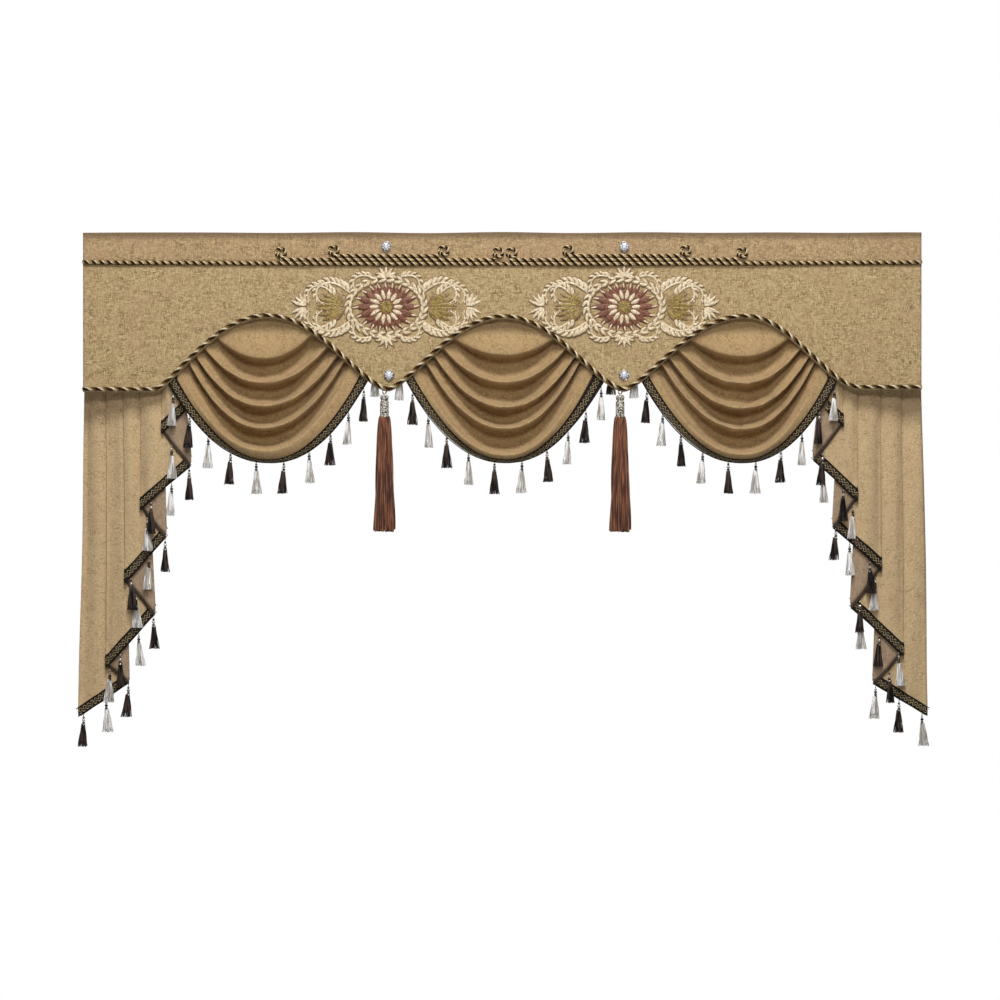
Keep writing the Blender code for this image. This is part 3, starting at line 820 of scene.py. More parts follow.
def guide_curve(craft: NodeCraft, geometry: object, step: object) -> Node:
    """Turns a guide's edges into curves with their points a step apart."""
    inputs = {"Curve": craft.geo("MeshToCurve", {0: geometry}), "Length": step}
    return craft.geo("ResampleCurve", inputs, mode="LENGTH")


def tube(craft: NodeCraft, curve: object, sides: object, radius: object,
         scale: object = 1.0) -> Node:
    """Sweeps a ring along curves, with closed ends."""
    inputs = {"Resolution": sides, "Radius": radius}
    ring = craft.geo("CurvePrimitiveCircle", inputs)
    return craft.geo("CurveToMesh", {
        "Curve": curve, "Profile Curve": ring, "Scale": scale, "Fill Caps": True})


def dress(craft: NodeCraft, result: object, mesh: object, finish: object) -> NodeTree:
    """Ends a tree: realised, shaded smooth and in one finish."""
    whole = craft.geo("RealizeInstances", {0: mesh})
    whole = craft.geo("SetShadeSmooth", {0: whole})
    craft.feed(result, craft.geo("SetMaterial", {0: whole, "Material": finish}))
    return craft.tree


def read_trait(craft: NodeCraft, title: str, kind: str = "FLOAT") -> NodeSocket:
    """Reads a named attribute."""
    inputs = {"Name": title}
    return craft.geo("InputNamedAttribute", inputs, data_type=kind).outputs[0]


class Strand(NamedTuple):
    """One strand of a cord: radius and distance from its middle in millimetres."""

    title: str
    thick: float
    reach: float
    phase: float
    sides: int


STRANDS = (Strand("First", 2.3, 2.2, 0.0, 6), Strand("Beside", 2.2, 2.3, 0.19, 6),
           Strand("Second", 2.2, 2.4, 0.47, 6), Strand("Third", 1.3, 3.3, 0.74, 5),
           Strand("Fourth", 0.9, 3.5, 0.58, 4))


def cord_tree() -> NodeTree:
    """Five strands laid round a path in the plane of the front, each with its finish."""
    craft, ask, result = geometry_tree(
        "laid_cord", Twist=float, Steps=float, Fullness=float, Phase=float,
        **{strand.title: "material" for strand in STRANDS})
    step = craft.math("DIVIDE", ask["Twist"], ask["Steps"])
    curve = guide_curve(craft, ask["Geometry"], step)
    travelled = craft.geo("SplineParameter").outputs["Length"]
    turns = craft.plus(craft.math("DIVIDE", travelled, ask["Twist"]), ask["Phase"])
    turn = craft.times(turns, 2 * math.pi)
    tangent = craft.geo("InputTangent").outputs[0]
    across = craft.vector("CROSS_PRODUCT", tangent, (0.0, 1.0, 0.0))
    joined = craft.geo("JoinGeometry")
    for strand in STRANDS:
        angle = craft.plus(turn, 2 * math.pi * strand.phase)
        reach = craft.times(ask["Fullness"], strand.reach * MM)
        side = craft.times(craft.math("COSINE", angle), reach)
        front = craft.times(craft.math("SINE", angle), reach)
        front = craft.times(front, -1.0)
        offset = craft.vector("ADD", craft.scaled(across, side), craft.join(0.0, front, 0.0))
        moved = craft.geo("SetPosition", {"Geometry": curve, "Offset": offset})
        swept = tube(craft, moved, strand.sides, strand.thick * MM, ask["Fullness"])
        inputs = {0: swept, "Material": ask[strand.title]}
        craft.feed(joined.inputs[0], craft.geo("SetMaterial", inputs))
    smooth = craft.geo("SetShadeSmooth", {0: joined})
    craft.feed(result, craft.geo("RealizeInstances", {0: smooth}))
    return craft.tree


def gimp_tree() -> NodeTree:
    """A thin cord that swings from side to side along a braid."""
    craft, ask, result = geometry_tree(
        "braid_gimp", Period=float, Swing=float, Shift=float, Lift=float, Radius=float,
        Step=float, Finish="material")
    curve = guide_curve(craft, ask["Geometry"], ask["Step"])
    travelled = craft.geo("SplineParameter").outputs["Length"]
    turns = craft.math("DIVIDE", travelled, ask["Period"])
    sine = craft.math("SINE", craft.times(turns, 2 * math.pi))
    side = craft.plus(craft.times(sine, ask["Swing"]), ask["Shift"])
    across = read_trait(craft, "across", "FLOAT_VECTOR")
    outward = read_trait(craft, "outward", "FLOAT_VECTOR")
    offset = craft.vector("ADD", craft.scaled(across, side), craft.scaled(outward, ask["Lift"]))
    moved = craft.geo("SetPosition", {"Geometry": curve, "Offset": offset})
    return dress(craft, result, tube(craft, moved, 4, ask["Radius"]), ask["Finish"])


def tassel_tree() -> NodeTree:
    """A bundle of hanging threads under each point, which tilts and frays a little."""
    craft, ask, result = geometry_tree(
        "hanging_threads", Threads=int, Drop=float, Length=float, Neck=float, Foot=float,
        Flatness=float, Fray=float, Tilt=float, Flare=float, Wave=float, Thread_Radius=float,
        Sides=int, Steps=int, Seed=int, Finish="material")

    def keep(title: str, value: object, source: object) -> NodeSocket:
        """Stores a value on the points under a name and returns the geometry."""
        inputs = {0: source, "Name": title}
        node = craft.geo("StoreNamedAttribute", inputs, data_type="FLOAT",
                         domain="POINT")
        craft.feed(node.inputs["Value"], value)
        return node.outputs[0]

    def chance(low: float, high: float, salt: int) -> NodeSocket:
        """A random number for each point, from the tree's seed."""
        inputs = {2: low, 3: high, "Seed": craft.plus(ask["Seed"], salt)}
        return craft.add("FunctionNodeRandomValue", inputs, data_type="FLOAT").outputs[1]

    kept = craft.geo("MeshToPoints", {0: ask["Geometry"]}).outputs[0]
    kept = keep("lean_x", craft.times(chance(-1.0, 1.0, 1), ask["Tilt"]), kept)
    kept = keep("lean_y", craft.times(chance(-0.4, 0.4, 2), ask["Tilt"]), kept)
    kept = keep("girth", chance(0.85, 1.15, 3), kept)
    copies = craft.geo("DuplicateElements", {0: kept, "Amount": ask["Threads"]},
                       domain="POINT")
    kept = keep("thread", copies.outputs["Duplicate Index"], copies.outputs[0])
    kept = keep("stray", chance(-1.0, 1.0, 4), kept)
    kept = keep("sway", chance(0.0, 6.28, 5), kept)
    down = craft.geo("CurvePrimitiveLine",
                     {"Start": (0.0, 0.0, 0.0), "End": (0.0, 0.0, -1.0)})
    down = craft.geo("ResampleCurve", {"Curve": down, "Count": ask["Steps"]})
    placed = craft.geo("InstanceOnPoints", {"Points": kept, "Instance": down})
    placed = craft.geo("RealizeInstances", {0: placed})
    along = craft.geo("SplineParameter").outputs["Factor"]
    lean_x, lean_y, girth, thread, stray, sway = (
        read_trait(craft, title)
        for title in ("lean_x", "lean_y", "girth", "thread", "stray", "sway"))
    thread = craft.plus(thread, 0.5)
    angle = craft.times(thread, GOLDEN_ANGLE)
    share = craft.math("SQRT", craft.math("DIVIDE", thread, ask["Threads"]))
    widen = craft.math("POWER", along, ask["Flare"])
    spread = craft.math("SUBTRACT", ask["Foot"], ask["Neck"])
    reach = craft.math("MULTIPLY_ADD", widen, spread, ask["Neck"])
    reach = craft.times(craft.times(reach, share), girth)
    fray = craft.times(stray, ask["Fray"])
    drop = craft.times(craft.times(along, ask["Length"]), craft.plus(1.0, fray))
    drop = craft.plus(drop, ask["Drop"])
    beat = craft.math("MULTIPLY_ADD", along, 7.0, sway)
    wave = craft.times(craft.math("SINE", beat), craft.times(along, ask["Wave"]))
    x = craft.math("MULTIPLY_ADD", craft.math("COSINE", angle), reach,
                   craft.math("MULTIPLY_ADD", drop, lean_x, wave))
    y = craft.times(craft.math("SINE", angle), reach)
    y = craft.math("MULTIPLY_ADD", y, ask["Flatness"], craft.times(drop, lean_y))
    offset = craft.join(x, y, craft.math("SUBTRACT", along, drop))
    moved = craft.geo("SetPosition", {"Geometry": placed, "Offset": offset})
    threads = tube(craft, moved, ask["Sides"], ask["Thread Radius"])
    return dress(craft, result, threads, ask["Finish"])


def bead_tree() -> NodeTree:
    """One bead under each point, at a drop below it."""
    craft, ask, result = geometry_tree(
        "threaded_bead", Drop=float, Radius=float, Tallness=float, Segments=int,
        Finish="material")
    ball = craft.geo("MeshUVSphere", {
        "Segments": ask["Segments"], "Rings": 6, "Radius": ask["Radius"]})
    low = craft.times(ask["Drop"], -1.0)
    ball = craft.geo("Transform", {
        0: ball, "Translation": craft.join(0.0, 0.0, low),
        "Scale": craft.join(1.0, 1.0, ask["Tallness"])})
    points = craft.geo("MeshToPoints", {0: ask["Geometry"]})
    placed = craft.geo("InstanceOnPoints", {"Points": points, "Instance": ball})
    return dress(craft, result, placed, ask["Finish"])


def satin_tree() -> NodeTree:
    """Domed satin stitch along flat paths, as wide as the path's own width says."""
    craft, ask, result = geometry_tree("satin_stitch", Step=float, Dome=float, Sunk=float,
                                       Finish="material")
    curve = guide_curve(craft, ask["Geometry"], ask["Step"])
    swept = tube(craft, curve, 7, 0.5, read_trait(craft, "width"))
    x, y, z = craft.split(craft.geo("InputPosition").outputs[0])
    high = craft.math("SQRT", craft.times(craft.math("ABSOLUTE", z), ask["Dome"]))
    under = craft.math("LESS_THAN", z, -1e-6)
    above = craft.times(high, craft.math("SUBTRACT", 1.0, under))
    high = craft.math("SUBTRACT", above, craft.times(under, ask["Sunk"]))
    domed = craft.geo("SetPosition",
                      {"Geometry": swept, "Position": craft.join(x, y, high)})
    return dress(craft, result, domed, ask["Finish"])


class Trees:
    """The geometry trees, each built once."""

    def __init__(self) -> None:
        """Builds every tree."""
        self.cord = cord_tree()
        self.gimp = gimp_tree()
        self.threads = tassel_tree()
        self.bead = bead_tree()
        self.satin = satin_tree()


@dataclass
class Workshop:
    """What every sub-assembly needs: the finishes and the geometry trees."""

    finishes: Wardrobe = field(default_factory=Wardrobe)
    trees: Trees = field(default_factory=Trees)

    def wear(self, *chosen: Finish) -> list[Material]:
        """The materials of some finishes."""
        return [self.finishes[finish] for finish in chosen]


# ---------------- panel


class Arch(NamedTuple):
    """One arch of the panel's lower edge, with how softly it falls to each foot."""

    left_x: float
    left_z: float
    left_fall: float
    crown_x: float
    crown_z: float
    right_x: float
    right_z: float
    right_fall: float


ARCHES = (
    Arch(-829, -370, 1.30, -564, -194, -276, -369, 1.60),
    Arch(-276, -369, 1.50, 1, -196, 288, -370, 1.65),
    Arch(288, -370, 1.45, 576, -195, 851, -365, 1.95),
)


def edge_z(x: float) -> float:
    """Height in millimetres of the edge cord's middle: three arches between flat ends."""
    for arch in ARCHES:
        if arch.left_x <= x <= arch.right_x:
            if x < arch.crown_x:
                foot_x, foot_z, fall = arch.left_x, arch.left_z, arch.left_fall
            else:
                foot_x, foot_z, fall = arch.right_x, arch.right_z, arch.right_fall
            across = (x - arch.crown_x) / (foot_x - arch.crown_x)
            return foot_z + (arch.crown_z - foot_z) * max(1 - across * across, 0.0) ** fall
    return ARCHES[0].left_z if x < 0 else ARCHES[-1].right_z


@dataclass
class Panel:
    """The heading strip and the arched valance panel, with their soft unevenness."""

    shop: Workshop
    thickness: float = 2.5 * MM
    column_pitch: float = 5 * MM
    heading_rows: int = 7
    panel_rows: int = 22
    lip: float = 7.0 * MM
    billow: float = 1.6 * MM
    broad: Waves = Waves(0.55, 0.9, 11)
    fine: Waves = Waves(0.16, 0.3, 12)
    fine_share: float = 0.35
    calm_to: float = -1.0
    calm_over: float = 0.05
    seam_billow: float = 0.6
    top: Waves = Waves(0.42, 1.0, 3)
    top_wave: float = 1.5 * MM
    top_lift: float = 3.4 * MM
    heading_flat: tuple[float, float] = (2.0, 0.075)
    panel_flat: tuple[float, float] = (2.0, 0.305)

    def columns(self) -> np.ndarray:
        """X of each column, in metres."""
        low, high = span("valance_panel")
        return np.linspace(low[0], high[0], round((high[0] - low[0]) / self.column_pitch) + 1)

    def lower_edge(self) -> np.ndarray:
        """The panel's lower edge, a lip outside the edge cord: rows of x and z."""
        x = self.columns()
        z = np.array([edge_z(value / MM) for value in x]) * MM
        slope = np.gradient(z, x)
        length = np.hypot(1.0, slope)
        edge = np.column_stack([x + self.lip * slope / length, z - self.lip / length])
        edge[[0, -1], 0] = x[[0, -1]]
        return edge

    def depth(self, x: np.ndarray, z: np.ndarray) -> np.ndarray:
        """How far the cloth billows to the front, as a negative Y."""
        soft = self.broad.at(x, z) + self.fine_share * self.fine.at(x, z)
        loose = smooth_step((x - self.calm_to) / self.calm_over)
        return -self.billow * 0.5 * (1 + soft) * loose

    def heading_grid(self) -> Grid:
        """The strip above the top cord; its free top edge is a little wavy."""
        low, high = span("heading_band")
        x = self.columns()
        wave = self.top_wave * self.top.at(x, x * 0) + self.top_lift
        rows = []
        for share in np.linspace(0, 1, self.heading_rows):
            z = high[2] + wave * (1 - share) + (low[2] - high[2]) * share
            rows.append(np.column_stack([x, self.seam_billow * self.depth(x, z), z]))
        return np.array(rows)

    def panel_grid(self) -> Grid:
        """The panel from its seam down to its arched edge."""
        edge = self.lower_edge()
        x = self.columns()
        top = np.column_stack([x, np.full(len(x), span("valance_panel")[1][2])])
        rows = []
        for share in np.linspace(0, 1, self.panel_rows):
            x, z = (top + (edge - top) * share).T
            rows.append(np.column_stack([x, self.depth(x, z), z]))
        return np.array(rows)

    def build(self) -> None:
        for name, node, grid, flat, finish, rests in (
                ("heading_cloth", "heading_band", self.heading_grid(), self.heading_flat,
                 Finish.HEADING, ()),
                ("panel_cloth", "valance_panel", self.panel_grid(), self.panel_flat,
                 Finish.PANEL, ("heading_cloth",))):
            mesh = cloth_mesh(name, grid, self.thickness,
                              self.shop.wear(finish, Finish.REVERSE), grid[:, :, [0, 2]])
            declare(fit(name, mesh, "panel_cloth", node), grid, flat)


# ---------------- cords


LEVEL_STRANDS = (Finish.CORD_DARK, Finish.CORD_DARK, Finish.CORD_GOLD, Finish.CORD_CREAM,
                 Finish.CORD_GOLD)
EDGE_STRANDS = (Finish.CORD_DARK, Finish.CORD_DARK, Finish.CORD_BRONZE, Finish.CORD_CREAM,
                Finish.CORD_CREAM)
# The hair-thin last strand of the tassels' hanging rings has no finish.
RING_STRANDS = (Finish.CORD_DARK, Finish.CORD_DARK, Finish.CORD_GOLD, Finish.CORD_CREAM)


def laid_cord(shop: Workshop, name: str, path: np.ndarray, strands: Sequence[Finish],
              **shape: float) -> Mesh:
    """Lays strands round a path.

    Args:
        shop: The finishes and the trees.
        name: The mesh's name.
        path: The points of its middle, in metres.
        strands: The strands' finishes, in the order of STRANDS.
        shape: The cord tree's twist, steps, fullness and phase.

    Returns:
        The mesh.
    """
    worn = {strand.title.lower(): shop.finishes[finish]
            for strand, finish in zip(STRANDS, strands)}
    return grow(line_mesh(name, [path]), shop.trees.cord, **shape, **worn)


@dataclass
class Cords:
    """The twisted cords laid on the front, and the curled ends of the shorter ones."""

    shop: Workshop
    twist: float = 18.5 * MM
    edge_twist: float = 29 * MM
    curl_twist: float = 15 * MM
    steps_per_turn: float = 10.0
    point_pitch: float = 6 * MM
    curl_from: float = -2.55
    curl_turns: float = 1.18
    curl_fullness: float = 0.84
    curl_points: int = 34
    curl_sunk: float = 0.5 * MM
    curl_rise: float = 2.0 * MM
    curl_closing: float = 0.42
    closing_from: float = 0.62
    closing_over: float = 0.56
    tuck: float = 11 * MM
    rise: float = 4 * MM
    tiers: tuple[tuple[str, int, tuple[int, int]], ...] = (
        ("top_cord_mid_left", 1, (1, 2)), ("top_cord_mid_right", 1, (3, 4)),
        ("top_cord_upper_left", 2, (5, 6)), ("top_cord_upper_right", 2, (7, 8)))

    def lay(self, node: str, path: np.ndarray, twist: float, fullness: float = 1.0,
            phase: float = 0.0, strands: Sequence[Finish] = LEVEL_STRANDS) -> None:
        """Lays one cord along a path and lets it stand for its solid.

        Args:
            node: The solid that it stands for.
            path: The points of its middle, in metres.
            twist: Metres for one turn of the strands.
            fullness: Its thickness, as a share of the full cord's.
            phase: Turns by which the strands start ahead.
            strands: The finishes of its five strands.
        """
        name = f"{node}_laid"
        mesh = laid_cord(self.shop, name, path, strands, twist=twist, steps=self.steps_per_turn,
                         fullness=fullness, phase=phase)
        fit(name, mesh, "twisted_cord", node)

    def level(self, node: str, tuck: float = 0.0) -> np.ndarray:
        """The path of a cord across the top, rising a little to its ends.

        Args:
            node: The solid it follows.
            tuck: How far its left end runs on under its curl.

        Returns:
            The points.
        """
        low, high = span(node)
        reach = span("top_cord")[1][0]
        x = np.linspace(low[0] - tuck, high[0], round((high[0] - low[0]) / self.point_pitch))
        lift = self.rise * ((x / reach) ** 2 - (np.abs(x).max() / reach) ** 2)
        radius = (high[1] - low[1]) / 2
        return np.column_stack([x, np.full(len(x), (low[1] + high[1]) / 2),
                                high[2] - radius + lift])

    def curl(self, node: str) -> np.ndarray:
        """The path of a curled end: up from its lower left, over the top and inwards."""
        low, high = span(node)
        centre = (low + high) / 2
        tube_radius = (high[1] - low[1]) / 2
        outer = (high[0] - low[0]) / 2 - tube_radius * self.curl_fullness
        turns = np.linspace(0, self.curl_turns, self.curl_points)
        angle = self.curl_from - 2 * math.pi * turns
        closing = smooth_step((turns - self.closing_from) / self.closing_over)
        reach = outer * (1 - self.curl_closing * closing)
        return circle(centre, reach, angle, self.curl_sunk - self.curl_rise * turns)

    def edge(self) -> np.ndarray:
        """The path of the cord that edges the arches."""
        low, high = span("edge_cord")
        x = np.append(np.arange(low[0], high[0], self.point_pitch), high[0])
        y = (low[1] + high[1]) / 2
        return np.array([(value, y, edge_z(value / MM) * MM) for value in x])

    def build(self) -> None:
        """Lays every cord; half a turn more on each tier carries the strands on upwards."""
        path = self.level("top_cord")
        self.lay("top_cord", path, self.twist, phase=path[0, 0] / self.twist)
        for node, tier, curls in self.tiers:
            path = self.level(node, self.tuck)
            self.lay(node, path, self.twist, phase=path[0, 0] / self.twist + tier / 2)
            for number in curls:
                end = f"cord_curl_{number}"
                self.lay(end, self.curl(end), self.curl_twist, self.curl_fullness)
        self.lay("edge_cord", self.edge(), self.edge_twist, strands=EDGE_STRANDS)


# ---------------- fringe


class Shade(Enum):
    """The two colours of small tassel."""

    DARK = "dark"
    SILVER = "silver"


class Bundle(NamedTuple):
    """One bundle of hanging threads; its lengths are in millimetres."""

    threads: int
    length_share: float
    neck: float
    foot: float
    fray: float
    wave: float
    radius: float
    sides: int
    steps: int

    def hang(self, shop: Workshop, name: str, places: Sequence[np.ndarray], length: float,
             **more: object) -> Mesh:
        """Hangs the bundle under each place.

        Args:
            shop: The finishes and the trees.
            name: The mesh's name.
            places: The points it hangs from.
            length: The whole tassel's length in metres.
            more: The thread tree's other inputs.

        Returns:
            The mesh.
        """
        return grow(line_mesh(name, places), shop.trees.threads, threads=self.threads,
                    length=length * self.length_share, neck=self.neck * MM, foot=self.foot * MM,
                    fray=self.fray, wave=self.wave * MM, thread_radius=self.radius * MM,
                    sides=self.sides, steps=self.steps, **more)


class Bead(NamedTuple):
    """One bead of a small tassel: its drop and radius in millimetres, and its part."""

    drop: float
    radius: float
    tallness: float
    part: str


TASSEL_PITCH = 66.0
# A small tassel's skirt and its denser heart.
SMALL_BUNDLES = (Bundle(36, 1.0, 3.0, 12.6, 0.025, 0.8, 0.9, 3, 6),
                 Bundle(7, 0.8, 3.0, 7.2, 0.05, 0.2, 2.4, 5, 4))
BEADS = (Bead(1.2, 1.2, 1.6, "second"), Bead(5.0, 1.6, 1.0, "first"),
         Bead(9.6, 2.9, 1.0, "second"), Bead(16.0, 3.9, 0.95, "first"),
         Bead(22.2, 3.9, 0.7, "deep"), Bead(26.6, 3.8, 0.6, "first"),
         Bead(29.6, 4.3, 0.6, "thread"))


@dataclass
class Fringe:
    """A braid with its gimp cords and beaded tassels along one hem."""

    shop: Workshop
    name: str
    node: str
    drop: float = 22 * MM
    thickness: float = 1.7 * MM
    cloth_half: float = 0.8 * MM
    skirt: float = 54 * MM
    strand: float = 25 * MM
    wave_period: float = 11.5 * MM
    gimp_place: float = 0.155
    gimp_swing: float = 0.145
    gimp_radius: float = 0.64 * MM
    gimp_step: float = 1.6 * MM
    border_place: float = 0.44
    border_radius: float = 1.3 * MM
    border_step: float = 6 * MM
    flatness: float = 0.8
    flare: float = 0.85
    tilt: float = 0.06
    bead_segments: int = 10

    def sewn_on(self, grid: Grid) -> Grid:
        """The braid's rows moved out from the cloth's middle to its front face."""
        return grid - (self.cloth_half + self.thickness / 2) * grid_normals(grid)

    def braid(self, grid: Grid) -> Mesh:
        """The flat braid, from its rows of points."""
        along = np.linalg.norm(np.diff(grid[len(grid) // 2], axis=0), axis=1)
        along = np.concatenate([[0.0], np.cumsum(along)])
        rows = np.linspace(0, self.drop, len(grid))
        cloth_map = np.stack(np.broadcast_arrays(along[None, :], rows[:, None]), axis=-1)
        return cloth_mesh(f"{self.name}_braid", grid, self.thickness,
                          self.shop.wear(Finish.BRAID, Finish.BRAID_BACK), cloth_map)

    def gimps(self, grid: Grid) -> list[Mesh]:
        """The waved cords on the braid's face and the straight ones at its edges."""
        count = len(grid)
        line = (grid[(count - 1) // 2] + grid[count // 2]) / 2
        normals = grid_normals(grid)[count // 2]
        across = np.cross(normals, np.gradient(line, axis=0))
        across /= np.linalg.norm(across, axis=1, keepdims=True)
        across *= np.sign((across * (grid[-1] - grid[0])).sum(axis=1, keepdims=True))
        kinds = ((self.gimp_place, self.gimp_swing, self.gimp_radius, self.gimp_step,
                  Finish.GIMP),
                 (self.border_place, 0.0, self.border_radius, self.border_step, Finish.BORDER))
        meshes = []
        for place, swing, radius, step, finish in kinds:
            for side in (1, -1):
                guide = line_mesh(f"{self.name}_gimp", [line], across=across, outward=-normals)
                meshes.append(grow(
                    guide, self.shop.trees.gimp, period=self.wave_period,
                    swing=self.drop * swing, shift=side * self.drop * place,
                    lift=self.thickness / 2, radius=radius, step=step,
                    finish=self.shop.finishes[finish]))
        return meshes

    def tassels(self, hangers: Sequence[np.ndarray], shade: Shade,
                seed: int) -> list[Mesh]:
        """The tassels of one colour: skirt, a denser heart, and the beads above it."""
        dark = shade is Shade.DARK
        thread, bright, deep = self.shop.wear(
            Finish.THREAD_DARK if dark else Finish.THREAD_SILVER, Finish.BEAD_SILVER,
            Finish.BEAD_DARK)
        worn = {"first": bright if dark else deep, "second": deep if dark else bright,
                "deep": deep, "thread": thread}
        places = [np.array([point]) for point in hangers]
        meshes = [bundle.hang(self.shop, f"{self.name}_threads", places, self.skirt,
                              drop=self.strand, flatness=self.flatness, flare=self.flare,
                              tilt=self.tilt, seed=seed, finish=thread)
                  for bundle in SMALL_BUNDLES]
        meshes += [grow(line_mesh(f"{self.name}_beads", places), self.shop.trees.bead,
                        drop=bead.drop * MM, radius=bead.radius * MM, tallness=bead.tallness,
                        segments=self.bead_segments, finish=worn[bead.part])
                   for bead in BEADS]
        return meshes

    def build(self, grid: Grid, tops: np.ndarray, first: Shade,
              seed: int) -> tuple[Object, Object]:
        """Makes the braid and the tassels as two pieces.

        Args:
            grid: The braid's rows of points, from the hem down.
            tops: Where each tassel hangs.
            first: The colour of the first one; they alternate.
            seed: Fixes how they tilt and fray.

        Returns:
            The braid's piece and the tassels' piece.
        """
        grid = self.sewn_on(grid)
        name = f"{self.name}_braid"
        mesh = join_meshes(name, [self.braid(grid), *self.gimps(grid)])
        braid = fit(name, mesh, "tassel_fringe", self.node)
        meshes = []
        shades = [first, Shade.SILVER if first is Shade.DARK else Shade.DARK]
        for number, shade in enumerate(shades):
            meshes += self.tassels(tops[number::2], shade, seed + number)
        name = f"{self.name}_tassels"
        return braid, fit(name, join_meshes(name, meshes), "tassel_fringe")


# ---------------- swags


class Fold(NamedTuple):
    """One fold crest of a swag: its two ends and its low point."""

    left_x: float
    left_z: float
    low_x: float
    low_z: float
    right_x: float
    right_z: float


class Drape(NamedTuple):
    """One swag: its folds from the scoop down to the foot of the braid, and its ends."""

    side: str
    left_top_x: float
    left_foot_x: float
    right_foot_x: float
    right_top_x: float
    left_bow: float
    right_bow: float
    first_tassel: int
    last_tassel: int
    folds: tuple[Fold, ...]


# Folds run scoop, five crests, hem, braid foot. This is the depth (Y) of their low points.
LOW_Y = (17, 0, -9, -17, -25, -30, -22, -3)
LAST_CREST, HEM, FOOT = 5, 6, 7
DRAPES = (
    Drape("left", -690, -757, -289, -440, 0.0, 0.3, -4, 6, (
        Fold(-655, -216, -571, -230, -486, -212),
        Fold(-680, -249, -572, -294, -457, -234),
        Fold(-712, -274, -572, -354, -418, -262),
        Fold(-733, -294, -572, -410, -395, -284),
        Fold(-749, -310, -572, -463, -379, -297),
        Fold(-773, -332, -569, -516, -360, -310),
        Fold(-782, -341, -560, -538, -341, -332),
        Fold(-801, -360, -557, -543, -322, -348),
    )),
    Drape("centre", -130, -264, 276, 132, 0.3, 0.3, -5, 6, (
        Fold(-92, -222, 4, -231, 100, -220),
        Fold(-115, -248, 5, -286, 123, -243),
        Fold(-145, -270, 5, -353, 152, -267),
        Fold(-165, -290, 5, -413, 170, -290),
        Fold(-184, -307, 5, -464, 183, -300),
        Fold(-204, -330, 5, -527, 199, -320),
        Fold(-216, -340, 5, -538, 213, -335),
        Fold(-229, -357, 5, -543, 238, -357),
    )),
    Drape("right", 440, 300, 757, 690, 0.3, 0.0, -5, 5, (
        Fold(470, -218, 573, -231, 657, -216),
        Fold(445, -246, 572, -289, 681, -245),
        Fold(416, -272, 572, -355, 713, -267),
        Fold(395, -291, 569, -415, 732, -288),
        Fold(378, -307, 569, -465, 745, -301),
        Fold(359, -329, 569, -525, 761, -316),
        Fold(346, -340, 569, -538, 777, -339),
        Fold(333, -356, 569, -543, 794, -361),
    )),
)

# How a fold rolls under its crest and slopes out to the next one: share of the way down
# to the next crest, then depth behind the crest as a share of the fold's depth, in the
# swag's middle and at its ends.
FOLD_SECTION = (
    (0.04, 0.10, 0.25), (0.07, 0.42, 0.62), (0.09, 0.80, 0.88), (0.17, 1.0, 1.0),
    (0.36, 1.02, 0.66), (0.56, 1.0, 0.36), (0.72, 0.92, 0.16), (0.84, 0.68, 0.04),
    (0.93, 0.30, 0.0))


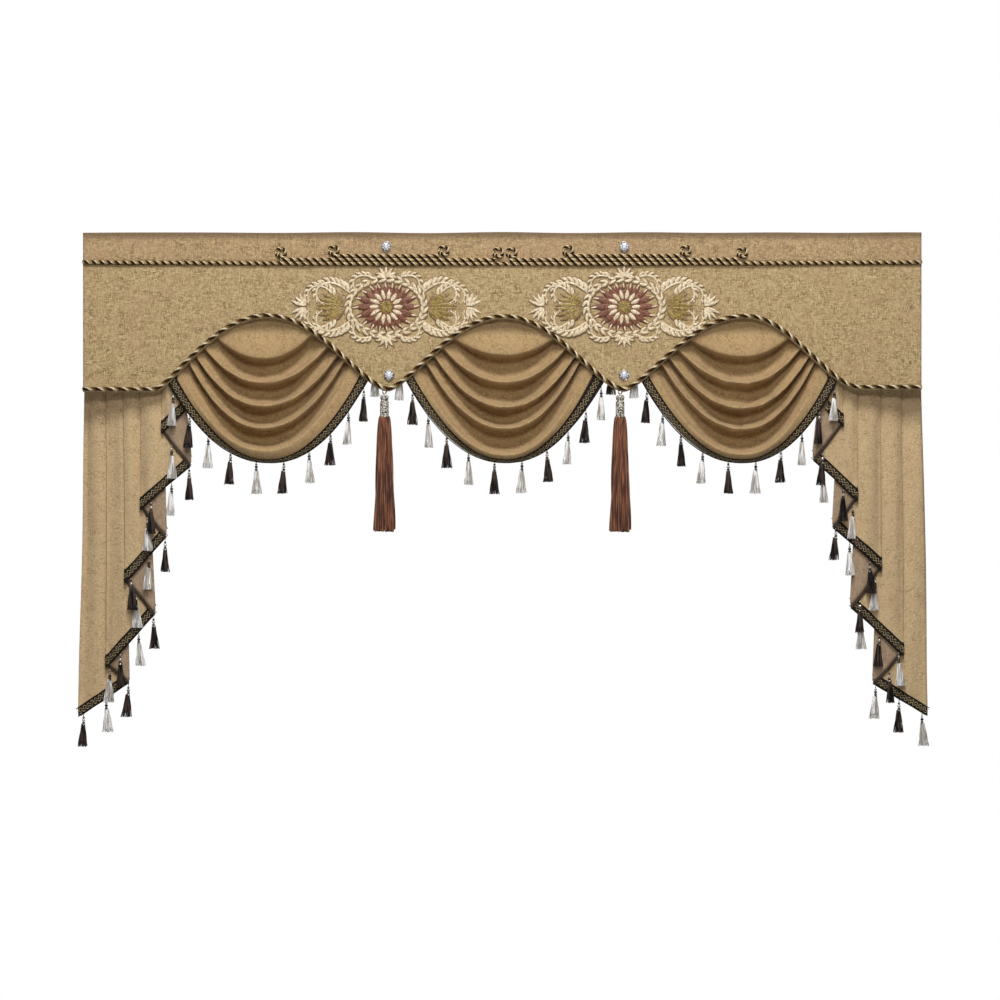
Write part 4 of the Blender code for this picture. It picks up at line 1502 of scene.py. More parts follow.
@dataclass
class Swag:
    """One pleated swag with the fringe along its hem."""

    shop: Workshop
    drape: Drape
    flat: tuple[float, float]
    thickness: float = 1.6 * MM
    spread: int = 75
    shoulder: int = 7
    fold_depth: float = 53.0
    end_depth: float = 0.5
    end_y: float = 6.0
    top_y: float = 2.9
    top_z: float = -90.0
    top_fall: float = 50.0
    flat_reach: float = 0.97
    row_curve: float = 2.1
    point_lip: float = 9.5
    point_reach: float = 400.0
    point_shift: float = 6.0
    swell_power: float = 1.2
    scoop_swell: float = 4.0
    scoop_sag: float = 2.0
    scoop_share: float = 0.55
    hem_swell: float = 6.0
    braid_swell: float = 1.5
    uneven: float = 0.12
    uneven_waves: float = 2.2
    fold_seed: int = 40
    first_steps: tuple[int, ...] = (5, 5, 4, 4)
    fine_steps: int = 3
    wrinkle: float = 1.3
    wrinkle_seed: int = 70
    wrinkle_ends: float = 0.25
    braid_calm: float = 0.85
    calm_from: float = 7.2
    tuck_rows: int = 3
    first_shade: Shade = Shade.SILVER
    tassel_seed: int = 500

    def reach(self) -> np.ndarray:
        """Where each column between the visible ends lies, from -1 to 1."""
        return np.linspace(-1, 1, self.spread)

    def shoulder_line(self, end: np.ndarray, inner: np.ndarray, bow: float,
                      anchor: np.ndarray) -> np.ndarray:
        """Points from a row's visible end up to where it is sewn, bowed along the row."""
        reach = bow * np.linalg.norm(end - anchor) / np.linalg.norm(end - inner)
        control = end + (end - inner) * reach if bow else (end + anchor) / 2
        h = (np.arange(1, self.shoulder + 1) / self.shoulder)[:, None]
        return (1 - h) ** 2 * end + 2 * h * (1 - h) * control + h * h * anchor

    def row(self, number: int) -> np.ndarray:
        """X and z of one crest's row, from one sewn end to the other."""
        drape, fold = self.drape, self.drape.folds[number]
        share = (number + 1) / len(drape.folds)
        s = self.reach()
        end_x = np.where(s < 0, fold.left_x, fold.right_x)
        end_z = np.where(s < 0, fold.left_z, fold.right_z)
        x = fold.low_x + (end_x - fold.low_x) * np.abs(s)
        z = fold.low_z + (end_z - fold.low_z) * np.abs(s) ** self.row_curve
        line = np.column_stack([x, z])
        sewn_z = self.top_z - self.top_fall * share
        left_x = drape.left_top_x + (drape.left_foot_x - drape.left_top_x) * share
        right_x = drape.right_top_x + (drape.right_foot_x - drape.right_top_x) * share
        pitch = max(self.spread // 16, 1)
        left = self.shoulder_line(line[0], line[pitch], drape.left_bow,
                                  np.array([left_x, sewn_z]))
        right = self.shoulder_line(line[-1], line[-1 - pitch], drape.right_bow,
                                   np.array([right_x, sewn_z]))
        return np.concatenate([left[::-1], line, right])

    def profiles(self) -> tuple[np.ndarray, np.ndarray, np.ndarray]:
        """For each column: how fully it swells, its share of fold depth, its resting depth."""
        s = self.reach()
        h = np.arange(1, self.shoulder + 1) / self.shoulder
        none = np.zeros(self.shoulder)
        swell = np.maximum(1 - (s / self.flat_reach) ** 2, 0) ** self.swell_power
        swell = np.concatenate([none, swell, none])
        middle = self.end_depth + (1 - self.end_depth) * (1 - s * s)
        ends = self.end_depth * (1 - h)
        depth = np.concatenate([ends[::-1], middle, ends])
        rest = self.end_y + (self.top_y - self.end_y) * h
        base = np.concatenate([rest[::-1], np.full(self.spread, self.end_y), rest])
        return swell, depth, base

    def control_rows(self) -> tuple[Grid, int]:
        """The rows that the cloth passes through, and which one is the hem."""
        drape = self.drape
        crests = [self.row(number) for number in range(len(drape.folds))]
        swell, depth, base = self.profiles()
        fronts = [base + (low_y - base) * swell for low_y in LOW_Y]
        columns = len(swell)
        across = np.linspace(drape.left_top_x, drape.right_top_x, columns)
        top = np.column_stack([across, np.full(columns, self.top_z)])
        down = self.scoop_share
        rows = [(top, np.full(columns, self.top_y)),
                ((top + crests[0]) / 2, base + self.scoop_swell * swell),
                (crests[0], fronts[0]),
                (crests[0] + down * (crests[1] - crests[0]),
                 (1 - down) * fronts[0] + down * fronts[1] - self.scoop_sag * swell),
                (crests[1], fronts[1])]
        outward = np.concatenate([np.ones(self.shoulder), self.reach() ** 2,
                                  np.ones(self.shoulder)])
        for number in range(1, LAST_CREST):
            above, below = crests[number], crests[number + 1]
            waves = ripple(np.linspace(0, self.uneven_waves, columns), 0,
                           seed=self.fold_seed + number)
            deep = self.fold_depth * depth * (1 + self.uneven * waves)
            for share, mid_sunk, end_sunk in FOLD_SECTION:
                front = fronts[number] + share * (fronts[number + 1] - fronts[number])
                sunk = mid_sunk + (end_sunk - mid_sunk) * outward
                rows.append((above + share * (below - above), front + sunk * deep))
            rows.append((below, fronts[number + 1]))
        last, hem, foot = crests[LAST_CREST], crests[HEM], crests[FOOT]
        rows.append((last + 0.45 * (hem - last),
                     fronts[LAST_CREST] + self.hem_swell / 2 * swell))
        hem_y = fronts[HEM] + self.hem_swell * swell
        rows.append((hem, hem_y))
        hem_row = len(rows) - 1
        for share in (1 / 3, 2 / 3, 1.0):
            bulge = self.braid_swell * swell * math.sin(math.pi * share)
            rows.append((hem + share * (foot - hem),
                         hem_y + share * (fronts[FOOT] - hem_y) - bulge))
        grid = np.array([np.column_stack([xz[:, 0], y, xz[:, 1]]) for xz, y in rows]) * MM
        return grid, hem_row

    def surface(self) -> tuple[Grid, int]:
        """The fine grid of the whole swag with its wrinkles, and the hem's row in it."""
        control, hem = self.control_rows()
        steps = [*self.first_steps,
                 *[self.fine_steps] * (len(control) - len(self.first_steps) - 1)]
        grid = smooth_rows(control, steps)
        swell = self.profiles()[0]
        rows = np.linspace(0, 9, len(grid))[:, None]
        columns = np.linspace(0, 5, grid.shape[1])[None, :]
        seed = self.wrinkle_seed + len(self.drape.side)
        soft = ripple(columns, rows * 0.6, seed)
        soft = soft + 0.6 * ripple(columns * 3, rows * 1.4, seed + 1)
        sewn = smooth_step(rows - self.calm_from)
        calm = smooth_step(rows / 2) * (1 - self.braid_calm * sewn)
        share = self.wrinkle_ends + (1 - self.wrinkle_ends) * swell
        fade = share[None, :, None] * calm[:, :, None]
        grid = grid + self.wrinkle * MM * (soft[:, :, None] * fade) * grid_normals(grid)
        return grid, sum(steps[:hem])

    def behind_points(self, tops: np.ndarray) -> np.ndarray:
        """Hangs the tassels that start behind the panel's two points clear of its back."""
        for top in tops:
            hidden = top[2] > (edge_z(top[0] / MM) - self.point_lip) * MM
            if hidden and abs(top[0]) < self.point_reach * MM:
                top[1] += self.point_shift * MM
        return tops

    def build(self) -> None:
        grid, hem = self.surface()
        side = self.drape.side
        name = f"swag_{side}_cloth"
        cloth = grid[:hem + 1 + self.tuck_rows]
        mesh = cloth_mesh(name, cloth, self.thickness,
                          self.shop.wear(Finish.SWAG, Finish.REVERSE))
        piece = fit(name, mesh, "swag_cloth", f"swag_{side}")
        braid = grid[hem:]
        foot = braid[-1]
        low = int(np.argmin(foot[:, 2]))
        start = np.linalg.norm(np.diff(foot[:low + 1], axis=0), axis=1).sum()
        numbers = np.arange(self.drape.first_tassel, self.drape.last_tassel + 1)
        tops = places_along(foot, start + TASSEL_PITCH * MM * (numbers - 0.5))
        fringe = Fringe(self.shop, f"swag_{side}", f"swag_fringe_{side}")
        trim = fringe.build(braid, self.behind_points(tops), self.first_shade,
                            seed=self.tassel_seed + len(side))
        declare(piece, cloth, self.flat)


# ---------------- tails


class Pleat(NamedTuple):
    """One fold line of a tail, from under the panel to its point on the stepped hem."""

    top_x: float
    hem_x: float
    hem_z: float


TAIL_LEFT = (
    Pleat(-1003, -1026, -1137), Pleat(-917, -906, -1050), Pleat(-953, -954, -1007),
    Pleat(-874, -841, -879), Pleat(-914, -906, -800), Pleat(-832, -811, -694),
    Pleat(-871, -868, -627), Pleat(-794, -752, -524), Pleat(-818, -816, -443),
    Pleat(-788, -765, -395),
)
TAIL_RIGHT = (
    Pleat(997, 1027, -1135), Pleat(917, 896, -1051), Pleat(952, 960, -978),
    Pleat(868, 838, -863), Pleat(902, 904, -771), Pleat(820, 791, -672),
    Pleat(850, 844, -605), Pleat(796, 743, -510), Pleat(813, 810, -426),
    Pleat(787, 776, -395),
)


@dataclass
class Tail:
    """One cascade tail: a cloth pleated to and fro, with fringe along its stepped hem.

    Its waves and the height from which it hangs loose are in metres.
    """

    shop: Workshop
    side: str
    pleats: tuple[Pleat, ...]
    first_shade: Shade
    flat: tuple[float, float]
    thickness: float = 1.5 * MM
    stretch_columns: int = 17
    turn_columns: int = 4
    rows: int = 62
    top_z: float = -86.0
    settle_z: float = -350.0
    top_y: float = 2.35
    front_y: float = 15.5
    layer_top: float = 3.2
    layer_growth: float = 3.8
    length: float = 1060.0
    braid_drop: float = 22.0
    tuck_rows: int = 2
    tip_share: float = 0.35
    tip_lift: float = 0.5
    sway: float = 3.2
    billow: float = 5.0
    crease: float = 0.8
    sway_waves: Waves = Waves(0.75, 0.5, 0)
    billow_waves: Waves = Waves(0.085, 1.1, 1)
    crease_waves: Waves = Waves(0.03, 0.35, 2)
    loose_from: float = -0.28
    loose_over: float = 0.3
    valley_depth: float = 7.0
    valley_width: float = 6.5
    edge_roll: float = 0.0
    roll_width: float = 1.4
    tassels: int = 16
    tassel_start: float = 16.0
    tassel_lift: float = -3.5
    braid_flatness: float = 0.62
    tassel_seed: int = 700

    def layer_y(self, layer: np.ndarray, z: np.ndarray) -> tuple[np.ndarray, np.ndarray]:
        """Depth of a layer at a height, and the space between layers there."""
        settle = smooth_step((self.top_z - z) / (self.top_z - self.settle_z))
        front = self.top_y + (self.front_y - self.top_y) * settle
        spacing = self.layer_top + self.layer_growth * (self.top_z - z) / self.length
        return front + layer * spacing, spacing

    def columns(self) -> np.ndarray:
        """Each column's top x, hem x, hem z, layer, turn and braid height."""
        stretches = list(zip(self.pleats, self.pleats[1:]))
        falls = []
        for here, following in stretches:
            run, rise = abs(following.hem_x - here.hem_x), abs(following.hem_z - here.hem_z)
            falls.append(self.braid_drop * math.hypot(run, rise) / run)
        last = len(stretches) - 1
        made = []
        for number, (here, following) in enumerate(stretches):
            before = (falls[number - 1] + falls[number]) / 2 if number else self.braid_drop
            after = (falls[number] + falls[min(number + 1, last)]) / 2
            for share in np.linspace(0, 1, self.stretch_columns):
                place = np.array(here) + (np.array(following) - np.array(here)) * share
                fall = np.interp(share, (0, 0.5, 1), (before, falls[number], after))
                if number == 0:
                    place[2] += self.tip_lift * max(1 - share / self.tip_share, 0.0) ** 2
                made.append((*place, last - number, 0.0, fall))
            if number < last:
                way = math.copysign(1.0, following.hem_x - here.hem_x)
                for share in np.arange(1, self.turn_columns + 1) / (self.turn_columns + 1):
                    swing = math.sin(math.pi * share)
                    sink = (1 - math.cos(math.pi * share)) / 2
                    made.append((*following, last - number - sink, way * swing, after))
        return np.array(made)

    def valley(self, x: np.ndarray, z: np.ndarray) -> np.ndarray:
        """How far the cloth sinks beside each outward fold line and within its rolled edge."""
        lines = [(pleat, 0.0, self.valley_width) for pleat in self.pleats[2::2]]
        if self.edge_roll:
            inward = math.copysign(self.edge_roll, -self.pleats[0].top_x)
            lines.append((self.pleats[0], inward, self.roll_width * self.valley_width))
        sunk = np.zeros_like(x)
        for pleat, shift, width in lines:
            share = (self.top_z - z) / (self.top_z - pleat.hem_z)
            line = pleat.top_x + (pleat.hem_x - pleat.top_x) * share + shift
            ends = smooth_step((share - 0.12) / 0.2) * smooth_step((1.02 - share) / 0.06)
            sunk += ends * np.exp(-((x - line) / width) ** 2)
        return self.valley_depth * sunk

    def surface(self) -> tuple[Grid, int]:
        """The fine grid from the hidden top to the braid's foot, and the hem's row."""
        top_x, hem_x, hem_z, layer, turn, fall = self.columns().T
        shares = list(np.linspace(0, 1, self.rows))
        rows = []
        for share, drop in [(s, 0.0) for s in shares] + [(1.0, d) for d in (1 / 3, 2 / 3, 1.0)]:
            x = top_x + (hem_x - top_x) * share
            z = self.top_z + (hem_z - self.top_z) * share - fall * drop
            y, spacing = self.layer_y(layer, z)
            rows.append(np.column_stack([x + turn * spacing / 2, y, z]))
        grid = np.array(rows) * MM
        x, z = grid[:, :, 0], grid[:, :, 2]
        valleys = self.valley(x / MM, z / MM) * MM
        seed = 90 if self.side == "left" else 95
        loose = smooth_step((self.loose_from - z) / self.loose_over)
        sway = self.sway * MM * loose * self.sway_waves.at(z, x, seed)
        billow = self.billow * MM * loose * self.billow_waves.at(x, z, seed)
        billow += self.crease * MM * loose * self.crease_waves.at(x, z, seed)
        grid[:, :, 0] += sway
        grid[:, :, 1] += billow + valleys
        return grid, self.rows - 1

    def outward(self, grid: Grid) -> Grid:
        """Turns the rows to run from left to right, so that the face looks to the front."""
        return grid if self.side == "left" else grid[:, ::-1]

    def build(self) -> None:
        grid, hem = self.surface()
        name = f"tail_{self.side}_cloth"
        cloth = grid[:hem + 1 + self.tuck_rows]
        # The tail's front finish is painted lighter than the panel's same cloth, for the light
        # it lacks.
        mesh = cloth_mesh(name, self.outward(cloth), self.thickness,
                          self.shop.wear(Finish.TAIL, Finish.REVERSE))
        piece = fit(name, mesh, "panel_cloth", f"tail_{self.side}")
        braid = grid[hem:]
        distances = (self.tassel_start + TASSEL_PITCH * np.arange(self.tassels)) * MM
        tops = places_along(braid[-1], distances) + (0.0, self.tassel_lift * MM, 0.0)
        fringe = Fringe(self.shop, f"tail_{self.side}", f"tail_fringe_{self.side}",
                        drop=self.braid_drop * MM, flatness=self.braid_flatness)
        trim = fringe.build(self.outward(braid), tops, self.first_shade,
                            seed=self.tassel_seed + len(self.side))
        declare(piece, cloth, self.flat)


# ---------------- hard trim


class Facets(NamedTuple):
    """A ring of a crystal's corners: shares of its radius and height, and half steps round."""

    reach: float
    rise: float
    twist: int


FACETS = (Facets(0.80, 0.0, 0), Facets(0.93, 0.12, 0), Facets(0.84, 0.50, 1),
          Facets(0.56, 0.86, 0), Facets(0.34, 1.0, 1))


@dataclass
class Crystal:
    """A faceted crystal in a claw cup, sewn to the front."""

    shop: Workshop
    node: str
    sides: int = 8
    rim_reach: float = 0.93
    rim_depth: float = 2.2 * MM
    rim_radius: float = 0.9 * MM
    rim_points: int = 41
    claws: int = 8
    claw_reach: float = 0.80
    claw_rise: float = 0.58
    claw_radius: float = 1.1 * MM

    def ring(self, reach: float, y: float, angles: np.ndarray) -> np.ndarray:
        """Points round the button's axis, at a share of its radius and at a depth."""
        low, high = span(self.node)
        x, _, z = (low + high) / 2
        return circle((x, y, z), (high[0] - low[0]) / 2 * reach, angles)

    def stone(self) -> Mesh:
        """The crystal, its facets by turns bright and painted with shade in a darker copy of
        its finish.
        """
        low, high = span(self.node)
        steps = np.arange(self.sides)
        points = [self.ring(row.reach, high[1] - (high[1] - low[1]) * row.rise,
                            2 * math.pi * (steps + row.twist / 2) / self.sides)
                  for row in FACETS]
        # Material 1, the darker copy of the crystal's finish, paints shade on one triangle of
        # each twisted pair.
        faces, chosen = [], []
        for number, (ring, following) in enumerate(zip(FACETS, FACETS[1:])):
            lead = following.twist - ring.twist
            for side in range(self.sides):
                a = number * self.sides + side
                b = number * self.sides + (side + 1) % self.sides
                c, d = a + self.sides, b + self.sides
                if lead == 0:
                    faces.append((a, b, d, c))
                    chosen.append(0)
                elif lead > 0:
                    faces += [(a, b, c), (b, d, c)]
                    chosen += [0, 1]
                else:
                    faces += [(a, b, d), (a, d, c)]
                    chosen += [1, 0]
        faces += [tuple(reversed(range(self.sides))),
                  tuple((len(FACETS) - 1) * self.sides + i for i in range(self.sides))]
        chosen += [0, 0]
        return face_mesh(f"{self.node}_stone", np.concatenate(points), faces,
                         self.shop.wear(Finish.CRYSTAL, Finish.CRYSTAL_SHADE), chosen,
                         smooth=False)

    def cup(self) -> list[Mesh]:
        """The cup's rim and its claws."""
        low, high = span(self.node)
        metal = self.shop.finishes[Finish.BEAD_SILVER]
        cup = self.ring(self.rim_reach, high[1] - self.rim_depth,
                        np.linspace(0, 2 * math.pi, self.rim_points))
        back = np.tile((0.0, 1.0, 0.0), (self.rim_points, 1))
        rim = grow(line_mesh("rim", [cup], across=back, outward=back), self.shop.trees.gimp,
                   period=0.01, swing=0.0, shift=0.0, lift=0.0, radius=self.rim_radius,
                   step=0.002, finish=metal)
        claws = self.ring(self.claw_reach, high[1] - (high[1] - low[1]) * self.claw_rise,
                          np.arange(self.claws) * 2 * math.pi / self.claws)
        grains = grow(line_mesh("claws", [claw[None] for claw in claws]),
                      self.shop.trees.bead, drop=0.0, radius=self.claw_radius, tallness=1.0,
                      segments=8, finish=metal)
        return [rim, grains]

    def build(self) -> None:
        """Makes the stone and the cup as one piece."""
        mesh = join_meshes(self.node, [self.stone(), *self.cup()])
        fit(f"{self.node}_set", mesh, "crystal", self.node)


def turned_mesh(name: str, surface: Callable[[float, float], float], top: np.ndarray,
                height: float, rings: int, sides: int,
                material: Material) -> Mesh:
    """Turns a surface about a vertical axis.

    Args:
        name: The mesh's name.
        surface: Radius in metres at a share of the height, from the top, and a share round.
        top: The axis's upper end.
        height: The axis's length.
        rings: Rings along it.
        sides: Points round it.
        material: Its finish.

    Returns:
        The closed mesh.
    """
    points = []
    for ring in range(rings):
        down = ring / (rings - 1)
        for side in range(sides):
            angle = 2 * math.pi * side / sides
            radius = surface(down, side / sides)
            points.append((top[0] + radius * math.cos(angle), top[1] + radius * math.sin(angle),
                           top[2] - height * down))
    faces = [tuple(range(sides)),
             tuple((rings - 1) * sides + i for i in reversed(range(sides)))]
    for ring in range(rings - 1):
        for side in range(sides):
            a, b = ring * sides + side, ring * sides + (side + 1) % sides
            faces.append((b, a, a + sides, b + sides))
    return face_mesh(name, np.array(points), faces, [material])


# Share of the cap's height from the top, and radius in millimetres.
CAP_PROFILE = ((0.0, 3.5), (0.03, 7.6), (0.12, 9.8), (0.22, 8.6), (0.27, 7.4), (0.31, 9.6),
               (0.34, 10.6), (0.40, 9.9), (0.95, 10.1), (1.0, 10.6))
# A large tassel's skirt and the shorter threads within it, each with its finish and seed.
LARGE_BUNDLES = (
    (Bundle(74, 1.0, 11.8, 25.0, 0.014, 2.4, 1.8, 6, 34), Finish.THREAD_RUSSET, 31),
    (Bundle(37, 1.0, 11.4, 24.6, 0.014, 2.4, 1.8, 6, 34), Finish.THREAD_BRICK, 47))


@dataclass
class LargeTassel:
    """A hanging ring, a cast cap with lattice and ribs, and a long cord skirt."""

    shop: Workshop
    side: str
    ribs: int = 9
    crossings: int = 8
    head_to: float = 0.26
    barrel: tuple[float, float] = (0.40, 0.95)
    band_pitch: float = 0.11
    cap_rings: int = 90
    cap_sides: int = 72
    skirt_tuck: float = 2 * MM
    ring_turns: float = 1.05
    ring_points: int = 30
    ring_inset: float = 1.6 * MM
    ring_twist: float = 8 * MM
    ring_steps: float = 8.0
    ring_fullness: float = 0.36

    def surface(self, down: float, round_: float) -> float:
        """The cap's radius: crossed ribs on the head, upright ribs and bands on the barrel."""
        radius = float(np.interp(down, *zip(*CAP_PROFILE))) * MM
        if down < self.head_to:
            cross = min(abs(math.sin(math.pi * (self.ribs * round_ + way * down)))
                        for way in (self.crossings, -self.crossings))
            return radius + 0.9 * MM * (1 - cross)
        if self.barrel[0] < down < self.barrel[1]:
            band = abs(math.sin(math.pi * (down - self.barrel[0]) / self.band_pitch))
            rib = abs(math.sin(self.ribs * math.pi * round_))
            return radius + (0.55 * MM * (rib + band) - 0.4 * MM)
        return radius

    def cap(self) -> None:
        """The cap: a domed lattice head, a waist and a ribbed barrel."""
        node = f"tassel_cap_{self.side}"
        low, high = span(node)
        x, y, _ = (low + high) / 2
        top = np.array([x, y, high[2]])
        mesh = turned_mesh("cap", self.surface, top, high[2] - low[2], self.cap_rings,
                           self.cap_sides, self.shop.finishes[Finish.CAP])
        fit(f"{node}_cast", mesh, "cap_silver", node)

    def skirt(self) -> None:
        """The skirt of cords under the cap."""
        node = f"tassel_skirt_{self.side}"
        low, high = span(node)
        x, y, _ = (low + high) / 2
        top = np.array([[x, y, high[2] + self.skirt_tuck]])
        name = f"{node}_cords"
        meshes = [bundle.hang(self.shop, name, [top], high[2] - low[2], drop=0.0, flatness=0.75,
                              tilt=0.004, flare=0.5, seed=seed,
                              finish=self.shop.finishes[finish])
                  for bundle, finish, seed in LARGE_BUNDLES]
        fit(name, join_meshes(name, meshes), "tassel_cord", node)

    def hanger(self) -> None:
        """The ring of thin cord that the cap hangs from."""
        node = f"tassel_hanger_{self.side}"
        low, high = span(node)
        centre, reach = (low + high) / 2, (high[0] - low[0]) / 2 - self.ring_inset
        turns = np.linspace(0, 2 * math.pi * self.ring_turns, self.ring_points)
        mesh = laid_cord(self.shop, "ring", circle(centre, reach, turns), RING_STRANDS,
                         twist=self.ring_twist, steps=self.ring_steps,
                         fullness=self.ring_fullness, phase=0.0)
        fit(f"{node}_loop", mesh, "twisted_cord", node)

    def build(self) -> None:
        """Makes the cap, the skirt and the ring."""
        self.cap()
        self.skirt()
        self.hanger()


# ---------------- embroidery


class StrokeKind(Enum):
    """How a stroke's width runs along it."""

    LEAF = "leaf"
    STEM = "stem"


class Stroke(NamedTuple):
    """One satin stroke in the plane of the panel, in millimetres from the middle."""

    start: tuple[float, float]
    heading: float
    length: float
    first_bend: float
    last_bend: float
    width: float
    kind: StrokeKind = StrokeKind.LEAF

    def turned(self, share: float | np.ndarray) -> float | np.ndarray:
        """Its heading in degrees at a share of its length."""
        change = (self.last_bend - self.first_bend) / 2
        return self.heading + self.first_bend * share + change * share * share

    def path(self, steps: int = 26) -> tuple[np.ndarray, np.ndarray]:
        """Runs the stroke, whose bend changes evenly along it.

        Args:
            steps: How many points.

        Returns:
            The points and the width at each, in metres.
        """
        t = np.linspace(0, 1, steps)
        turned = np.radians(self.turned(t))
        pace = self.length / (steps - 1)
        x = self.start[0] + np.concatenate([[0], np.cumsum(pace * np.cos(turned[1:]))])
        y = self.start[1] + np.concatenate([[0], np.cumsum(pace * np.sin(turned[1:]))])
        if self.kind is StrokeKind.LEAF:
            width = np.sin(math.pi * t ** 0.8) ** 0.75
        else:
            width = np.minimum(0.35 + 1.3 * np.sin(math.pi * t), 1.0) * (1 - 0.35 * t)
        width = np.maximum(width, 0.06) * self.width
        return np.column_stack([x, y, np.zeros(steps)]) * MM, width * MM


Strokes = dict[Finish, list[Stroke]]


def compass(degrees: float) -> np.ndarray:
    """The unit vector of a heading."""
    return np.array([math.cos(math.radians(degrees)), math.sin(math.radians(degrees))])


@dataclass(frozen=True)
class Spray:
    """A cream stem with leaves along it, each over a broader leaf in a darker thread that
    outlines it and paints shade round it.
    """

    stem: Stroke
    leaves: int
    size: float
    lean: float = 58.0
    curl: float = -66.0
    slimming: float = 0.4
    points_a_leaf: int = 4

    def strokes(self) -> Strokes:
        """The stem and its leaves, by finish."""
        # shade holds the darker underlay leaves: outline and painted shade round the cream
        # ones.
        cream, shade = [self.stem], []
        count = self.leaves * self.points_a_leaf
        path, _ = self.stem.path(count + 1)
        for number in range(self.points_a_leaf // 2, count, self.points_a_leaf):
            share = number / count
            size = self.size * (1 - self.slimming * share)
            root = tuple(path[number, :2] / MM)
            heading = self.stem.turned(share) + self.lean
            cream.append(Stroke(root, heading, size, self.curl, self.curl, 0.42 * size))
            shade.append(Stroke(root, heading - 6, 1.14 * size, self.curl, self.curl,
                                0.62 * size))
        return {Finish.SATIN_CREAM: cream, Finish.SATIN_SHADE: shade}


@dataclass(frozen=True)
class Fan:
    """Blades that spread from one root, each over a longer and broader blade in a darker thread
    that outlines it and paints shade round it.
    """

    finish: Finish
    root_x: float
    rise: float
    heading: float
    pitch: float
    sizes: tuple[float, ...]
    margin: float
    bends: tuple[float, float]
    widths: tuple[float, float]

    def strokes(self) -> Strokes:
        """The blades, by finish."""
        rows = [(3 + self.rise * blade, self.heading + self.pitch * blade, size)
                for blade, size in enumerate(self.sizes)]
        over, under = self.widths
        return {
            self.finish: [Stroke((self.root_x, y), heading, size, *self.bends, over)
                          for y, heading, size in rows],
            Finish.SATIN_SHADE: [Stroke((self.root_x - 2, y), heading, size + self.margin,
                                        *self.bends, under) for y, heading, size in rows]}


# The upper right quarter of the sprays, which is mirrored to the others.
QUARTER = (
    Spray(Stroke((86, 32), 42, 136, 0, -430, 7, StrokeKind.STEM), 11, 31, slimming=0.72),
    Spray(Stroke((122, 21), 60, 106, -40, -350, 6, StrokeKind.STEM), 9, 25, slimming=0.55),
    Spray(Stroke((30, 70), 14, 80, 30, -400, 6, StrokeKind.STEM), 7, 20),
    Fan(Finish.SATIN_OLIVE, 104, 2, 5, 13, (60, 58, 52, 44), 5, (-8, -12), (15, 19)),
    Fan(Finish.SATIN_CREAM, 191, 1, 6, 21, (40, 37, 33, 27), 4, (24, 34), (9, 13)),
)


